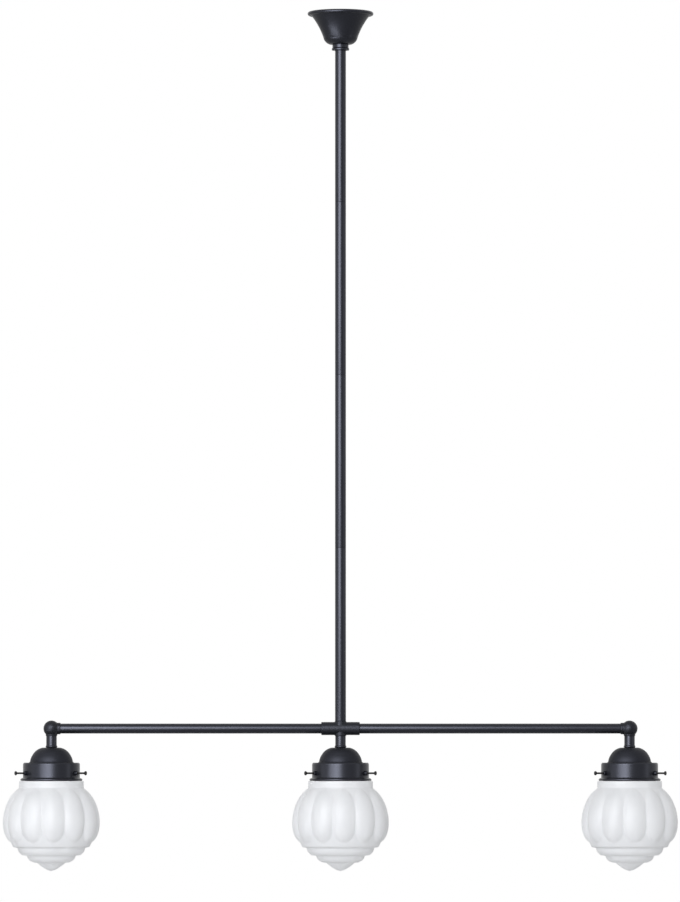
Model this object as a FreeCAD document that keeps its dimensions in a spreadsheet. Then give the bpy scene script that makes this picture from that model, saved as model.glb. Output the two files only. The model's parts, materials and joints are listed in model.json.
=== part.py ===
import FreeCAD, Part
import math
import os
import re

import Sketcher
from FreeCAD import Placement, Rotation, Vector

# Linear island pendant: a screwed tube stem hangs from a ceiling bracket under a spun canopy and
# carries a crossbar with three lamps. The origin is on the ceiling plane at the stem's axis, +Z is up,
# +X runs along the crossbar and -Y is the front. All sizes are millimetres.

doc = FreeCAD.newDocument("island_pendant")
sheet = doc.addObject("Spreadsheet::Sheet", "sizes")

SIZES = [
    ("lamp_pitch", 450, "distance between neighbouring lamps"),
    ("tube_chamfer", 0.3, "broken edge at the ends of every tube"),
    ("thread_play", 0.05, "radial play of every screwed or sliding fit"),
    ("loose_play", 0.3, "gap between pieces that only lie near each other"),
    ("bracket_width", 84, "ceiling plate, outer diameter"),
    ("bracket_plate", 2, "ceiling plate, thickness"),
    ("bracket_hole_pitch", 60, "distance between the two ceiling screws"),
    ("bracket_hole_width", 5.5, "ceiling screw hole, diameter"),
    ("supply_hole_width", 12, "supply cable hole, diameter"),
    ("supply_hole_reach", 25, "supply cable hole, distance from the axis"),
    ("earth_screw_reach", 26, "earth screw, distance from the axis"),
    ("earth_screw_angle", 45, "earth screw, angle behind -X"),
    ("earth_screw_width", 4, "earth screw shank, diameter"),
    ("earth_head_width", 8, "earth screw head, diameter"),
    ("earth_head_height", 2.6, "earth screw head, height"),
    ("hub_width", 20, "bracket hub, outer diameter"),
    ("window_width", 8, "wire window in the hub, width"),
    ("window_height", 11, "wire window in the hub, height"),
    ("window_drop", 3, "wire window, distance below the plate"),
    ("block_width", 24, "terminal block along the crossbar"),
    ("block_depth", 12, "terminal block from front to back"),
    ("block_height", 13, "terminal block, height"),
    ("block_reach", 14, "terminal block, distance of its near face from the axis"),
    ("block_pitch", 7, "terminal block, distance between clamp holes"),
    ("block_clamp_depth", 4.3, "terminal block, depth of the clamp holes"),
    ("block_hole_width", 3.4, "terminal block, clamp and wire holes"),
    ("block_hole_depth", 5, "terminal block, depth of the wire holes"),
    ("canopy_width", 103, "canopy rim, outer diameter"),
    ("canopy_height", 51, "canopy, ceiling plane to its bottom"),
    ("canopy_wall", 1.2, "canopy, sheet thickness"),
    ("canopy_bead", 2.9, "canopy, radius of the rolled rim"),
    ("canopy_mouth", 92.6, "canopy, diameter where the bell meets the rim"),
    ("canopy_rim_height", 5.2, "canopy, height of the straight mouth"),
    ("canopy_flare", 1.8, "canopy, depth of the trumpet curve"),
    ("canopy_waist", 54, "canopy, diameter where the bottom corner starts"),
    ("canopy_corner_height", 11, "canopy, height of the rounded bottom corner"),
    ("canopy_corner", 2, "canopy, bulge of the rounded bottom corner"),
    ("canopy_floor", 35, "canopy, diameter of its flat bottom"),
    ("canopy_hole_play", 0.5, "canopy, radial gap around the stem"),
    ("collar_width", 25.2, "canopy collar, diameter"),
    ("collar_flare", 27.2, "canopy collar, diameter of its lower ring"),
    ("collar_height", 9.5, "canopy collar, height"),
    ("collar_ring", 2.6, "canopy collar, height of its lower ring"),
    ("collar_screw_drop", 3.6, "canopy collar, grub screw below its top"),
    ("grub_screw_width", 3, "grub screw, diameter"),
    ("grub_socket_width", 1.5, "grub screw, hexagon socket across corners"),
    ("stem_top_drop", 28.5, "stem top below the ceiling plane"),
    ("stem_width", 17, "stem tube, outer diameter"),
    ("stem_bore", 13, "stem tube, inner diameter"),
    ("section_count", 4, "stem sections, one above the other"),
    ("section_length", 270, "stem section, length"),
    ("joiner_length", 16, "stem joiner, length"),
    ("joiner_bore", 9, "stem joiner, inner diameter"),
    ("coupler_width", 20.4, "cross coupler barrel, diameter"),
    ("coupler_length", 60, "cross coupler barrel, length"),
    ("coupler_chamfer", 0.9, "cross coupler barrel, edge chamfer"),
    ("coupler_chamber", 14, "cross coupler, diameter of the wire chamber"),
    ("bar_seat_depth", 16, "depth that a bar enters the coupler"),
    ("boss_width", 17.8, "bosses of coupler and ball elbows, diameter"),
    ("boss_rise", 1.5, "coupler boss above its barrel"),
    ("boss_drop", 1.5, "coupler boss below its barrel"),
    ("bar_width", 15.5, "bar tube, outer diameter"),
    ("bar_bore", 12.5, "bar tube, inner diameter"),
    ("ball_width", 25, "ball elbow, diameter"),
    ("ball_collar_width", 18, "ball elbow, diameter of the collar on the bar"),
    ("ball_collar_reach", 14, "ball elbow, collar face from the ball's centre"),
    ("ball_chamber", 7, "ball elbow, half width of the wire chamber"),
    ("nipple_width", 10, "lamp nipple, outer diameter"),
    ("nipple_bore", 7.6, "lamp nipple, inner diameter"),
    ("nipple_grip", 5, "lamp nipple, engagement in the coupler and lampholder"),
    ("neck_width", 16.4, "neck tube, diameter"),
    ("neck_length", 18, "neck tube, length"),
    ("neck_foot_width", 18.4, "neck tube, diameter of its foot ring"),
    ("neck_foot_height", 3.6, "neck tube, height of its foot"),
    ("dome_rim_proud", 1.1, "dome cap, how far its rim stands out"),
    ("dome_rim_height", 1.4, "dome cap, height of its rim"),
    ("dome_width", 66.8, "dome cap, diameter above its rim"),
    ("dome_rise", 26, "dome cap, height of the crown curve above the base"),
    ("dome_shoulder", 6, "dome cap, crown height less the radius of the side curve"),
    ("dome_seat", 27.4, "dome cap, diameter of the flat under the neck"),
    ("dome_wall", 1.2, "dome cap, sheet thickness"),
    ("fitter_play", 1.65, "radial gap between the shade's rim and the gallery"),
    ("gallery_height", 28.2, "gallery, height"),
    ("gallery_wall", 1.4, "gallery, sheet thickness"),
    ("gallery_corner", 1.6, "gallery, radius of its top edge"),
    ("flange_proud", 3.9, "gallery flange, how far it stands out"),
    ("flange_height", 3.4, "gallery flange, height of its band"),
    ("flange_slope", 1.4, "gallery flange, height of the slope above the band"),
    ("flange_chamfer", 0.8, "gallery flange, edge chamfer"),
    ("screw_drop", 16.4, "thumb screws below the top of the gallery"),
    ("screw_count", 3, "thumb screws round each gallery"),
    ("screw_bearing", 90, "first thumb screw, angle from +X"),
    ("screw_width", 3, "thumb screw shaft, diameter"),
    ("screw_length", 22, "thumb screw, length"),
    ("screw_head_width", 6.6, "thumb screw head, diameter"),
    ("screw_head_length", 1.6, "thumb screw head, thickness"),
    ("screw_taper_length", 2, "thumb screw, taper behind the head"),
    ("screw_boss_width", 7, "gallery screw boss, diameter"),
    ("screw_boss_proud", 4.1, "gallery screw boss, how far it stands out"),
    ("nut_height", 4, "lock nut, height"),
    ("nut_width", 14, "lock nut, across flats"),
    ("fitter_width", 82.5, "shade rim bead, diameter"),
    ("fitter_lip", 0.45, "shade rim bead, how far it stands out from the neck"),
    ("fitter_height", 20, "shade neck inside the gallery, height"),
    ("fitter_bead", 2.4, "shade rim bead, height"),
    ("shoulder_width", 100.8, "shade, diameter just below the gallery"),
    ("shoulder_height", 11, "shade, height of the straight shoulder"),
    ("shoulder_corner", 0.5, "shade, bulge of the shoulder's upper edge"),
    ("shoulder_edge", 1.5, "shade, size of the shoulder's upper edge"),
    ("glass_wall", 4, "shade, glass thickness at the neck and foot"),
    ("belly_width", 138, "shade, diameter in the grooves at the belly"),
    ("belly_height", 49, "shade, height from the shoulder down to the belly"),
    ("belly_bulge", 5, "shade, bulge above the belly"),
    ("foot_height", 35.4, "shade, height from the belly down to the first step"),
    ("foot_width", 120, "shade, diameter in the grooves where they end"),
    ("foot_bulge", 3.6, "shade, bulge below the belly"),
    ("rib_count", 12, "shade, number of ribs"),
    ("rib_turn", 4.6, "shade, angle of the first rib from +X"),
    ("rib_reach", 47.9, "shade, rib centre from the lamp axis"),
    ("rib_drop", 53.5, "shade, rib centre below the gallery"),
    ("rib_half_length", 45.1, "shade, half length of a rib"),
    ("rib_half_width", 26, "shade, half width of a rib"),
    ("rib_tilt", 13.6, "shade, lean of the ribs towards the neck"),
    ("step_one_width", 126, "shade, diameter of the first step"),
    ("step_one_height", 9.4, "shade, height of the first step"),
    ("step_one_foot", 108, "shade, diameter at the bottom of the first step"),
    ("step_two_width", 105, "shade, diameter of the second step"),
    ("step_two_height", 12, "shade, height of the second step"),
    ("step_two_foot", 80, "shade, diameter at the bottom of the second step"),
    ("step_three_width", 75.6, "shade, diameter of the third step"),
    ("step_three_height", 11, "shade, height of the third step"),
    ("step_three_foot", 47, "shade, diameter at the bottom of the third step"),
    ("step_bulge", 2.4, "shade, bulge of the first two steps"),
    ("step_low_bulge", 3, "shade, bulge of the third step"),
    ("tip_width", 42, "shade, diameter of the pointed foot"),
    ("tip_height", 12.6, "shade, height of the pointed foot"),
    ("tip_bulge", 1.2, "shade, bulge of the pointed foot"),
    ("cavity_play", 2.5, "shade, how far the inside stays within the grooves at the belly"),
    ("holder_width", 39, "lampholder, diameter"),
    ("holder_height", 48, "lampholder, height"),
    ("holder_neck_width", 22, "lampholder, diameter of its top"),
    ("holder_shoulder", 8.5, "lampholder, height of its sloping shoulder"),
    ("holder_lip", 1.5, "lampholder, chamfer at its mouth"),
    ("holder_roof", 22, "lampholder, thickness above its contact"),
    ("holder_channel", 8, "lampholder, diameter of the wire channel"),
    ("shell_width", 28.6, "screw shell, outer diameter"),
    ("shell_wall", 0.8, "screw shell, thickness"),
    ("shell_inset", 2, "screw shell, distance from the holder's mouth and floor"),
    ("contact_length", 13, "centre contact, length"),
    ("contact_width", 5, "centre contact, width"),
    ("contact_height", 1.2, "centre contact, thickness"),
    ("bulb_width", 45, "bulb, diameter"),
    ("bulb_length", 78, "bulb, overall length"),
    ("bulb_wall", 1, "bulb, glass and cap thickness"),
    ("cap_width", 26.4, "bulb cap, diameter"),
    ("cap_length", 27, "bulb cap, length"),
    ("cap_crown", 4.4, "bulb cap, height of its tapered crown"),
    ("cap_contact_width", 9.5, "bulb cap, diameter of its centre contact"),
    ("lead_width", 3, "lamp lead, diameter"),
    ("lead_lane", 2, "lamp lead, distance from the stem's axis"),
    ("lead_bend", 6, "lamp lead, bend radius in the crossbar"),
    ("lead_top_bend", 4, "lamp lead, bend radius in the hub"),
    ("lead_low_turn", 12, "outer leads, level of the turn below the ceiling"),
    ("lead_high_turn", 7.5, "middle lead, level of the turn below the ceiling"),
]

for row, (alias, size, meaning) in enumerate(SIZES, start=1):
    sheet.set(f"A{row}", alias)
    sheet.set(f"B{row}", str(size))
    sheet.setAlias(f"B{row}", alias)
    sheet.set(f"C{row}", meaning)
doc.recompute()

SIDES = [("left", -1), ("centre", 0), ("right", 1)]
TURN = 360
HEXAGON = 6
OVERCUT = 1  # how far a cutting outline runs past the face that it opens

sub_parts = []


def bound(text):
    """Turns the size names in an expression into references to the sheet."""
    return re.sub(r"\b([a-z]+(?:_[a-z]+)+)\b", r"sizes.\1", text)


def value(text):
    """Gives the number that an expression of size names stands for."""
    return float(sheet.evalExpression(text))


# ---- Levels, as expressions of the sizes ----

BAR_LEVEL = "-(stem_top_drop + section_count * section_length + boss_rise + coupler_width / 2)"
BOSS_FOOT = f"({BAR_LEVEL} - coupler_width / 2 - boss_drop)"
DOME_SIDE = "(dome_rise - dome_shoulder)"
DOME_CROWN = f"((dome_width^2 / 4 - dome_width * {DOME_SIDE} + dome_rise^2) / (2 * dome_shoulder))"
DOME_CENTRE = f"({DOME_CROWN} - dome_rise)"
DOME_HEIGHT = f"(sqrt({DOME_CROWN}^2 - dome_seat^2 / 4) - {DOME_CENTRE})"
GALLERY_LEVEL = f"({BOSS_FOOT} - neck_length - {DOME_HEIGHT})"
GALLERY_FOOT = f"({GALLERY_LEVEL} - gallery_height)"
GALLERY_INNER = "(fitter_width / 2 + fitter_play)"
GALLERY_OUTER = f"({GALLERY_INNER} + gallery_wall)"
FLANGE_OUTER = f"({GALLERY_OUTER} + flange_proud)"
SCREW_BOSS_FACE = f"({GALLERY_OUTER} + screw_boss_proud)"
HOLDER_DROP = "(gallery_wall + nut_height)"
HOLDER_LEVEL = f"({GALLERY_LEVEL} - {HOLDER_DROP})"
JOINER_SEAT = "(stem_bore / 2)"
NIPPLE_SEAT = "(nipple_width / 2 + thread_play)"
BAR_SEAT = "(bar_width / 2 + thread_play)"
CHAMBER = "(coupler_chamber / 2)"


# ---- Drawing helpers ----

def set_sizes(thing, **expressions):
    for name, text in expressions.items():
        thing.setExpression(name.replace("__", "."), bound(text))


def place(thing, across="0", forward="0", level="0", axis=(0, 0, 1), turn=0):
    spot = Vector(value(across), value(forward), value(level))
    thing.Placement = Placement(spot, Rotation(Vector(*axis), turn))
    for name, text in (("x", across), ("y", forward), ("z", level)):
        thing.setExpression(f"Placement.Base.{name}", bound(text))


def new_body(label):
    body = doc.addObject("PartDesign::Body", label)
    body.Label = label
    sub_parts.append(body)
    return body


def new_sketch(body, plane):
    sketch = body.newObject("Sketcher::SketchObject", f"{body.Name}_sketch")
    origin_plane = next(item for item in body.Origin.OriginFeatures if item.Role == plane)
    sketch.AttachmentSupport = [(origin_plane, "")]
    sketch.MapMode = "FlatFace"
    return sketch


def pin(sketch, edge, end, across, up):
    """Ties a point of the sketch to two expressions, measured from the sketch's origin."""
    for kind, axis_line, text in (("DistanceX", -2, across), ("DistanceY", -1, up)):
        if text == "0":
            sketch.addConstraint(Sketcher.Constraint("PointOnObject", edge, end, axis_line))
            continue
        index = sketch.addConstraint(Sketcher.Constraint(kind, -1, 1, edge, end, value(text)))
        sketch.setExpression(f"Constraints[{index}]", bound(text))


def arc_between(start, end, radius, side):
    """An arc of less than half a turn; side 1 has its centre on the left of the way from start to end."""
    chord = end - start
    to_centre = Vector(-chord.y, chord.x, 0).normalize() * side
    centre = (start + end) / 2 + to_centre * (radius ** 2 - chord.Length ** 2 / 4) ** 0.5
    circle = Part.Circle(centre, Vector(0, 0, 1), radius)
    first, last = (start, end) if side > 0 else (end, start)
    return Part.ArcOfCircle(circle, circle.parameter(first), circle.parameter(last))


def bulge(corners, edge, rise):
    """Radius, as an expression, of the arc that rises this far over the chord of an outline's edge."""
    (across, up), (far_across, far_up) = corners[edge], corners[edge + 1]
    chord = f"(({far_across} - ({across}))^2 + ({far_up} - ({up}))^2)"
    return f"({chord} / (8 * {rise}) + {rise} / 2)"


def draw_outline(sketch, corners, arcs):
    """Draws a closed outline. Corners are pairs of expressions, arcs give a radius and a side by edge."""
    points = [Vector(value(across), value(up), 0) for across, up in corners]
    ends = []
    for number, start in enumerate(points):
        end = points[(number + 1) % len(points)]
        if number in arcs:
            radius, side = arcs[number]
            edge = sketch.addGeometry(arc_between(start, end, value(radius), side), False)
            ends.append((1, 2) if side > 0 else (2, 1))
            index = sketch.addConstraint(Sketcher.Constraint("Radius", edge, value(radius)))
            sketch.setExpression(f"Constraints[{index}]", bound(radius))
        else:
            sketch.addGeometry(Part.LineSegment(start, end), False)
            ends.append((1, 2))
    for edge, (across, up) in enumerate(corners):
        following = (edge + 1) % len(corners)
        joint = Sketcher.Constraint("Coincident", edge, ends[edge][1], following, ends[following][0])
        sketch.addConstraint(joint)
        pin(sketch, edge, ends[edge][0], across, up)


def draw_circle(sketch, across, up, radius):
    circle = Part.Circle(Vector(value(across), value(up), 0), Vector(0, 0, 1), value(radius))
    edge = sketch.addGeometry(circle, False)
    index = sketch.addConstraint(Sketcher.Constraint("Radius", edge, value(radius)))
    sketch.setExpression(f"Constraints[{index}]", bound(radius))
    pin(sketch, edge, 3, across, up)


def turned(body, sketch, cut=False, axis="V_Axis"):
    """Revolves a sketch right round an axis of the sketch, as material or as a cut."""
    kind = "Groove" if cut else "Revolution"
    feature = body.newObject(f"PartDesign::{kind}", f"{body.Name}_{kind.lower()}")
    feature.Profile = sketch
    feature.ReferenceAxis = (sketch, [axis])
    feature.Angle = TURN


def turn_outline(body, corners, arcs=None, cut=False, axis="V_Axis"):
    sketch = new_sketch(body, "XZ_Plane")
    draw_outline(sketch, corners, arcs or {})
    turned(body, sketch, cut, axis)


def extruded(body, sketch, length, cut=False, backward=False):
    kind = "Pocket" if cut else "Pad"
    feature = body.newObject(f"PartDesign::{kind}", f"{body.Name}_{kind.lower()}")
    feature.Profile = sketch
    feature.Reversed = backward
    set_sizes(feature, Length=length)
    return feature


def repeated(body, feature, sketch, count):
    """Repeats a feature evenly round the body's vertical axis."""
    pattern = body.newObject("PartDesign::PolarPattern", f"{body.Name}_pattern")
    pattern.Originals = [feature]
    pattern.Axis = (sketch, ["V_Axis"])
    pattern.Angle = TURN
    set_sizes(pattern, Occurrences=count)
    body.Tip = pattern


def must_change(body, before, grows):
    """Stops the build if the last feature of a body added or removed nothing."""
    doc.recompute()
    change = body.Shape.Volume - before
    if (change > 0) != grows or abs(change) < 1e-6:
        raise RuntimeError(f"{body.Label}: the last feature changed the volume by {change}")
    return body.Shape.Volume


def tube(label, outer, bore, length):
    """A plain tube from its top face down, with broken outer edges."""
    body = new_body(label)
    wall, hole = f"{outer} / 2", f"{bore} / 2"
    corners = [
        (hole, "0"),
        (f"{wall} - tube_chamfer", "0"),
        (wall, "-tube_chamfer"),
        (wall, f"-({length}) + tube_chamfer"),
        (f"{wall} - tube_chamfer", f"-({length})"),
        (hole, f"-({length})"),
    ]
    turn_outline(body, corners)
    return body


def ring_group(label, outer, bore, length, places, faces=0):
    """A group of like rings, one at each place, round or with a number of flat faces."""
    rings = []
    for number, (across, level) in enumerate(places, start=1):
        if faces:
            blank = doc.addObject("Part::Prism", f"{label}_blank_{number}")
            blank.Polygon = faces
            set_sizes(blank, Circumradius=f"{outer} / 2 / cos(180 / {faces})", Height=length)
        else:
            blank = doc.addObject("Part::Cylinder", f"{label}_blank_{number}")
            set_sizes(blank, Radius=f"{outer} / 2", Height=length)
        hole = doc.addObject("Part::Cylinder", f"{label}_hole_{number}")
        set_sizes(hole, Radius=f"{bore} / 2", Height=length)
        ring = doc.addObject("Part::Cut", f"{label}_{number}")
        ring.Base = blank
        ring.Tool = hole
        place(ring, across=across, level=level)
        rings.append(ring)
    group = doc.addObject("Part::Compound", label)
    group.Label = label
    group.Links = rings
    sub_parts.append(group)


# ---- Ceiling bracket: pressed plate with a hub that the stem screws into ----

EARTH_ACROSS = "(-earth_screw_reach * cos(earth_screw_angle))"
EARTH_BACK = "(earth_screw_reach * sin(earth_screw_angle))"

bracket = new_body("ceiling_bracket")
turn_outline(bracket, [
    ("0", "0"),
    ("bracket_width / 2", "0"),
    ("bracket_width / 2", "-bracket_plate"),
    ("hub_width / 2", "-bracket_plate"),
    ("hub_width / 2", "-stem_top_drop"),
    (JOINER_SEAT, "-stem_top_drop"),
    (JOINER_SEAT, "-bracket_plate"),
    ("0", "-bracket_plate"),
])
doc.recompute()
solid_volume = bracket.Shape.Volume
holes = new_sketch(bracket, "XY_Plane")
draw_circle(holes, "bracket_hole_pitch / 2", "0", "bracket_hole_width / 2")
draw_circle(holes, "-bracket_hole_pitch / 2", "0", "bracket_hole_width / 2")
draw_circle(holes, "0", "supply_hole_reach", "supply_hole_width / 2")
draw_circle(holes, EARTH_ACROSS, EARTH_BACK, "earth_screw_width / 2 + thread_play")
extruded(bracket, holes, f"bracket_plate + {OVERCUT}", cut=True)
solid_volume = must_change(bracket, solid_volume, grows=False)

WINDOW_TOP = "-(bracket_plate + window_drop)"
WINDOW_FOOT = "-(bracket_plate + window_drop + window_height)"
window = new_sketch(bracket, "XZ_Plane")
draw_outline(window, [
    ("-window_width / 2", WINDOW_FOOT),
    ("window_width / 2", WINDOW_FOOT),
    ("window_width / 2", WINDOW_TOP),
    ("-window_width / 2", WINDOW_TOP),
], {})
extruded(bracket, window, f"hub_width / 2 + {OVERCUT}", cut=True, backward=True)
must_change(bracket, solid_volume, grows=False)


# ---- Terminal block and earth screw under the plate ----

block = new_body("terminal_block")
base = new_sketch(block, "XY_Plane")
draw_outline(base, [
    ("-block_width / 2", "-block_reach - block_depth"),
    ("block_width / 2", "-block_reach - block_depth"),
    ("block_width / 2", "-block_reach"),
    ("-block_width / 2", "-block_reach"),
], {})
extruded(block, base, "block_height", backward=True)
place(block, level="-bracket_plate")
doc.recompute()
solid_volume = block.Shape.Volume

clamps = new_sketch(block, "XY_Plane")
for side, sign in SIDES:
    draw_circle(clamps, f"{sign} * block_pitch" if sign else "0", "-block_reach - block_depth / 2",
                "block_hole_width / 2")
extruded(block, clamps, "block_clamp_depth", cut=True, backward=True)
clamps.AttachmentOffset = Placement(Vector(0, 0, -value("block_height")), Rotation())
clamps.setExpression("AttachmentOffset.Base.z", bound("-block_height"))
solid_volume = must_change(block, solid_volume, grows=False)

# The three leads stand evenly round the stem's axis, the middle lamp's one at the back.
LEAD_SIDE = "(lead_lane * cos(30))"
LEAD_FRONT = "(lead_lane * sin(30))"
entries = new_sketch(block, "XZ_Plane")
draw_circle(entries, f"-{LEAD_SIDE}", "bracket_plate - lead_low_turn", "block_hole_width / 2")
draw_circle(entries, LEAD_SIDE, "bracket_plate - lead_low_turn", "block_hole_width / 2")
draw_circle(entries, "0", "bracket_plate - lead_high_turn", "block_hole_width / 2")
extruded(block, entries, "block_reach + block_hole_depth", cut=True, backward=True)
must_change(block, solid_volume, grows=False)

EARTH_HEAD = "-(bracket_plate + earth_head_height)"
earth = new_body("earth_screw")
turn_outline(earth, [
    ("0", "-loose_play"),
    ("earth_screw_width / 2", "-loose_play"),
    ("earth_screw_width / 2", "-bracket_plate"),
    ("earth_head_width / 2", "-bracket_plate"),
    ("earth_head_width / 2", f"{EARTH_HEAD} + earth_head_height / 2"),
    ("earth_screw_width / 2", EARTH_HEAD),
    ("0", EARTH_HEAD),
], {4: ("earth_head_width / 3", -1)})
place(earth, across=EARTH_ACROSS, forward=EARTH_BACK)


# ---- Canopy: spun bell with a rolled rim, and the collar that grips the stem ----

def bell(inset):
    """The canopy's outline, or the same outline moved inward by the sheet's thickness."""
    top = "-loose_play" if inset == "0" else f"{OVERCUT}"
    floor = f"-canopy_height + {inset}"
    return [
        ("0", top),
        (f"canopy_mouth / 2 - {inset}", top),
        (f"canopy_mouth / 2 - {inset}", f"-canopy_rim_height + {inset}"),
        (f"canopy_waist / 2 - {inset}", f"{floor} + canopy_corner_height"),
        (f"canopy_floor / 2 - {inset}", floor),
        ("0", floor),
    ]


def bell_arcs(corners):
    return {2: (bulge(corners, 2, "canopy_flare"), 1), 3: (bulge(corners, 3, "canopy_corner"), -1)}


canopy = new_body("canopy")
outside = bell("0")
turn_outline(canopy, outside, bell_arcs(outside))
rim = new_sketch(canopy, "XZ_Plane")
draw_circle(rim, "canopy_width / 2 - canopy_bead", "-loose_play - canopy_bead", "canopy_bead")
turned(canopy, rim)
doc.recompute()
solid_volume = canopy.Shape.Volume
inside = bell("canopy_wall")
turn_outline(canopy, inside, bell_arcs(inside), cut=True)
solid_volume = must_change(canopy, solid_volume, grows=False)
turn_outline(canopy, [
    ("0", f"-canopy_height - {OVERCUT}"),
    ("stem_width / 2 + canopy_hole_play", f"-canopy_height - {OVERCUT}"),
    ("stem_width / 2 + canopy_hole_play", f"-canopy_height + canopy_wall + {OVERCUT}"),
    ("0", f"-canopy_height + canopy_wall + {OVERCUT}"),
], cut=True)
must_change(canopy, solid_volume, grows=False)

COLLAR_BORE = "(stem_width / 2 + thread_play)"
collar = new_body("canopy_collar")
turn_outline(collar, [
    (COLLAR_BORE, "0"),
    ("collar_width / 2", "0"),
    ("collar_width / 2", "-collar_height + collar_ring + tube_chamfer"),
    ("collar_flare / 2", "-collar_height + collar_ring"),
    ("collar_flare / 2", "-collar_height + 2 * tube_chamfer"),
    ("collar_flare / 2 - 2 * tube_chamfer", "-collar_height"),
    (COLLAR_BORE, "-collar_height"),
])
place(collar, level="-canopy_height")
doc.recompute()
solid_volume = collar.Shape.Volume
screw_hole = new_sketch(collar, "XZ_Plane")
draw_circle(screw_hole, "0", "-collar_screw_drop", "grub_screw_width / 2 + thread_play")
extruded(collar, screw_hole, "collar_flare", cut=True)
must_change(collar, solid_volume, grows=False)

GRUB_LENGTH = f"(collar_width / 2 - {COLLAR_BORE} - loose_play)"
grub_blank = doc.addObject("Part::Cylinder", "grub_blank")
set_sizes(grub_blank, Radius="grub_screw_width / 2", Height=GRUB_LENGTH)
grub_socket = doc.addObject("Part::Prism", "grub_socket")
grub_socket.Polygon = HEXAGON
set_sizes(grub_socket, Circumradius="grub_socket_width / 2", Height=f"{GRUB_LENGTH} / 2")
grub_socket.setExpression("Placement.Base.z", bound(f"{GRUB_LENGTH} / 2"))
grub = doc.addObject("Part::Cut", "collar_grub_screw")
grub.Label = "collar_grub_screw"
grub.Base = grub_blank
grub.Tool = grub_socket
place(grub, forward=COLLAR_BORE, level="-canopy_height - collar_screw_drop", axis=(1, 0, 0), turn=-90)
sub_parts.append(grub)


# ---- Stem: four tube sections and the joiners screwed into their ends ----

section_count = int(value("section_count"))
for number in range(section_count):
    section = tube(f"stem_section_{number + 1}", "stem_width", "stem_bore", "section_length")
    place(section, level=f"-(stem_top_drop + {number} * section_length)")

joiner_places = [
    ("0", f"-(stem_top_drop + {number} * section_length + joiner_length / 2)")
    for number in range(section_count + 1)
]
ring_group("stem_joiners", "(stem_bore - 2 * thread_play)", "joiner_bore", "joiner_length", joiner_places)


# ---- Crossbar: coupler, two bars and two ball elbows ----

coupler = new_body("cross_coupler")
turn_outline(coupler, [
    ("-coupler_length / 2", "0"),
    ("-coupler_length / 2", "coupler_width / 2 - coupler_chamfer"),
    ("-coupler_length / 2 + coupler_chamfer", "coupler_width / 2"),
    ("coupler_length / 2 - coupler_chamfer", "coupler_width / 2"),
    ("coupler_length / 2", "coupler_width / 2 - coupler_chamfer"),
    ("coupler_length / 2", "0"),
], axis="H_Axis")
doc.recompute()
solid_volume = coupler.Shape.Volume
BOSS_TOP = "(coupler_width / 2 + boss_rise)"
BOSS_BOTTOM = "(-coupler_width / 2 - boss_drop)"
turn_outline(coupler, [
    ("0", BOSS_BOTTOM),
    ("boss_width / 2", BOSS_BOTTOM),
    ("boss_width / 2", BOSS_TOP),
    ("0", BOSS_TOP),
])
solid_volume = must_change(coupler, solid_volume, grows=True)
turn_outline(coupler, [
    (f"-coupler_length / 2 - {OVERCUT}", "0"),
    (f"-coupler_length / 2 - {OVERCUT}", BAR_SEAT),
    ("-coupler_length / 2 + bar_seat_depth", BAR_SEAT),
    ("-coupler_length / 2 + bar_seat_depth", CHAMBER),
    ("coupler_length / 2 - bar_seat_depth", CHAMBER),
    ("coupler_length / 2 - bar_seat_depth", BAR_SEAT),
    (f"coupler_length / 2 + {OVERCUT}", BAR_SEAT),
    (f"coupler_length / 2 + {OVERCUT}", "0"),
], cut=True, axis="H_Axis")
solid_volume = must_change(coupler, solid_volume, grows=False)
turn_outline(coupler, [
    ("0", f"{BOSS_BOTTOM} - {OVERCUT}"),
    (NIPPLE_SEAT, f"{BOSS_BOTTOM} - {OVERCUT}"),
    (NIPPLE_SEAT, "0"),
    (JOINER_SEAT, "0"),
    (JOINER_SEAT, f"{BOSS_TOP} + {OVERCUT}"),
    ("0", f"{BOSS_TOP} + {OVERCUT}"),
], cut=True)
must_change(coupler, solid_volume, grows=False)
place(coupler, level=BAR_LEVEL)

BAR_START = "(coupler_length / 2 - bar_seat_depth)"
BAR_END = "(lamp_pitch - ball_chamber)"
BALL_BITE = "sqrt(ball_width^2 / 4 - ball_collar_width^2 / 4)"

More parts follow.
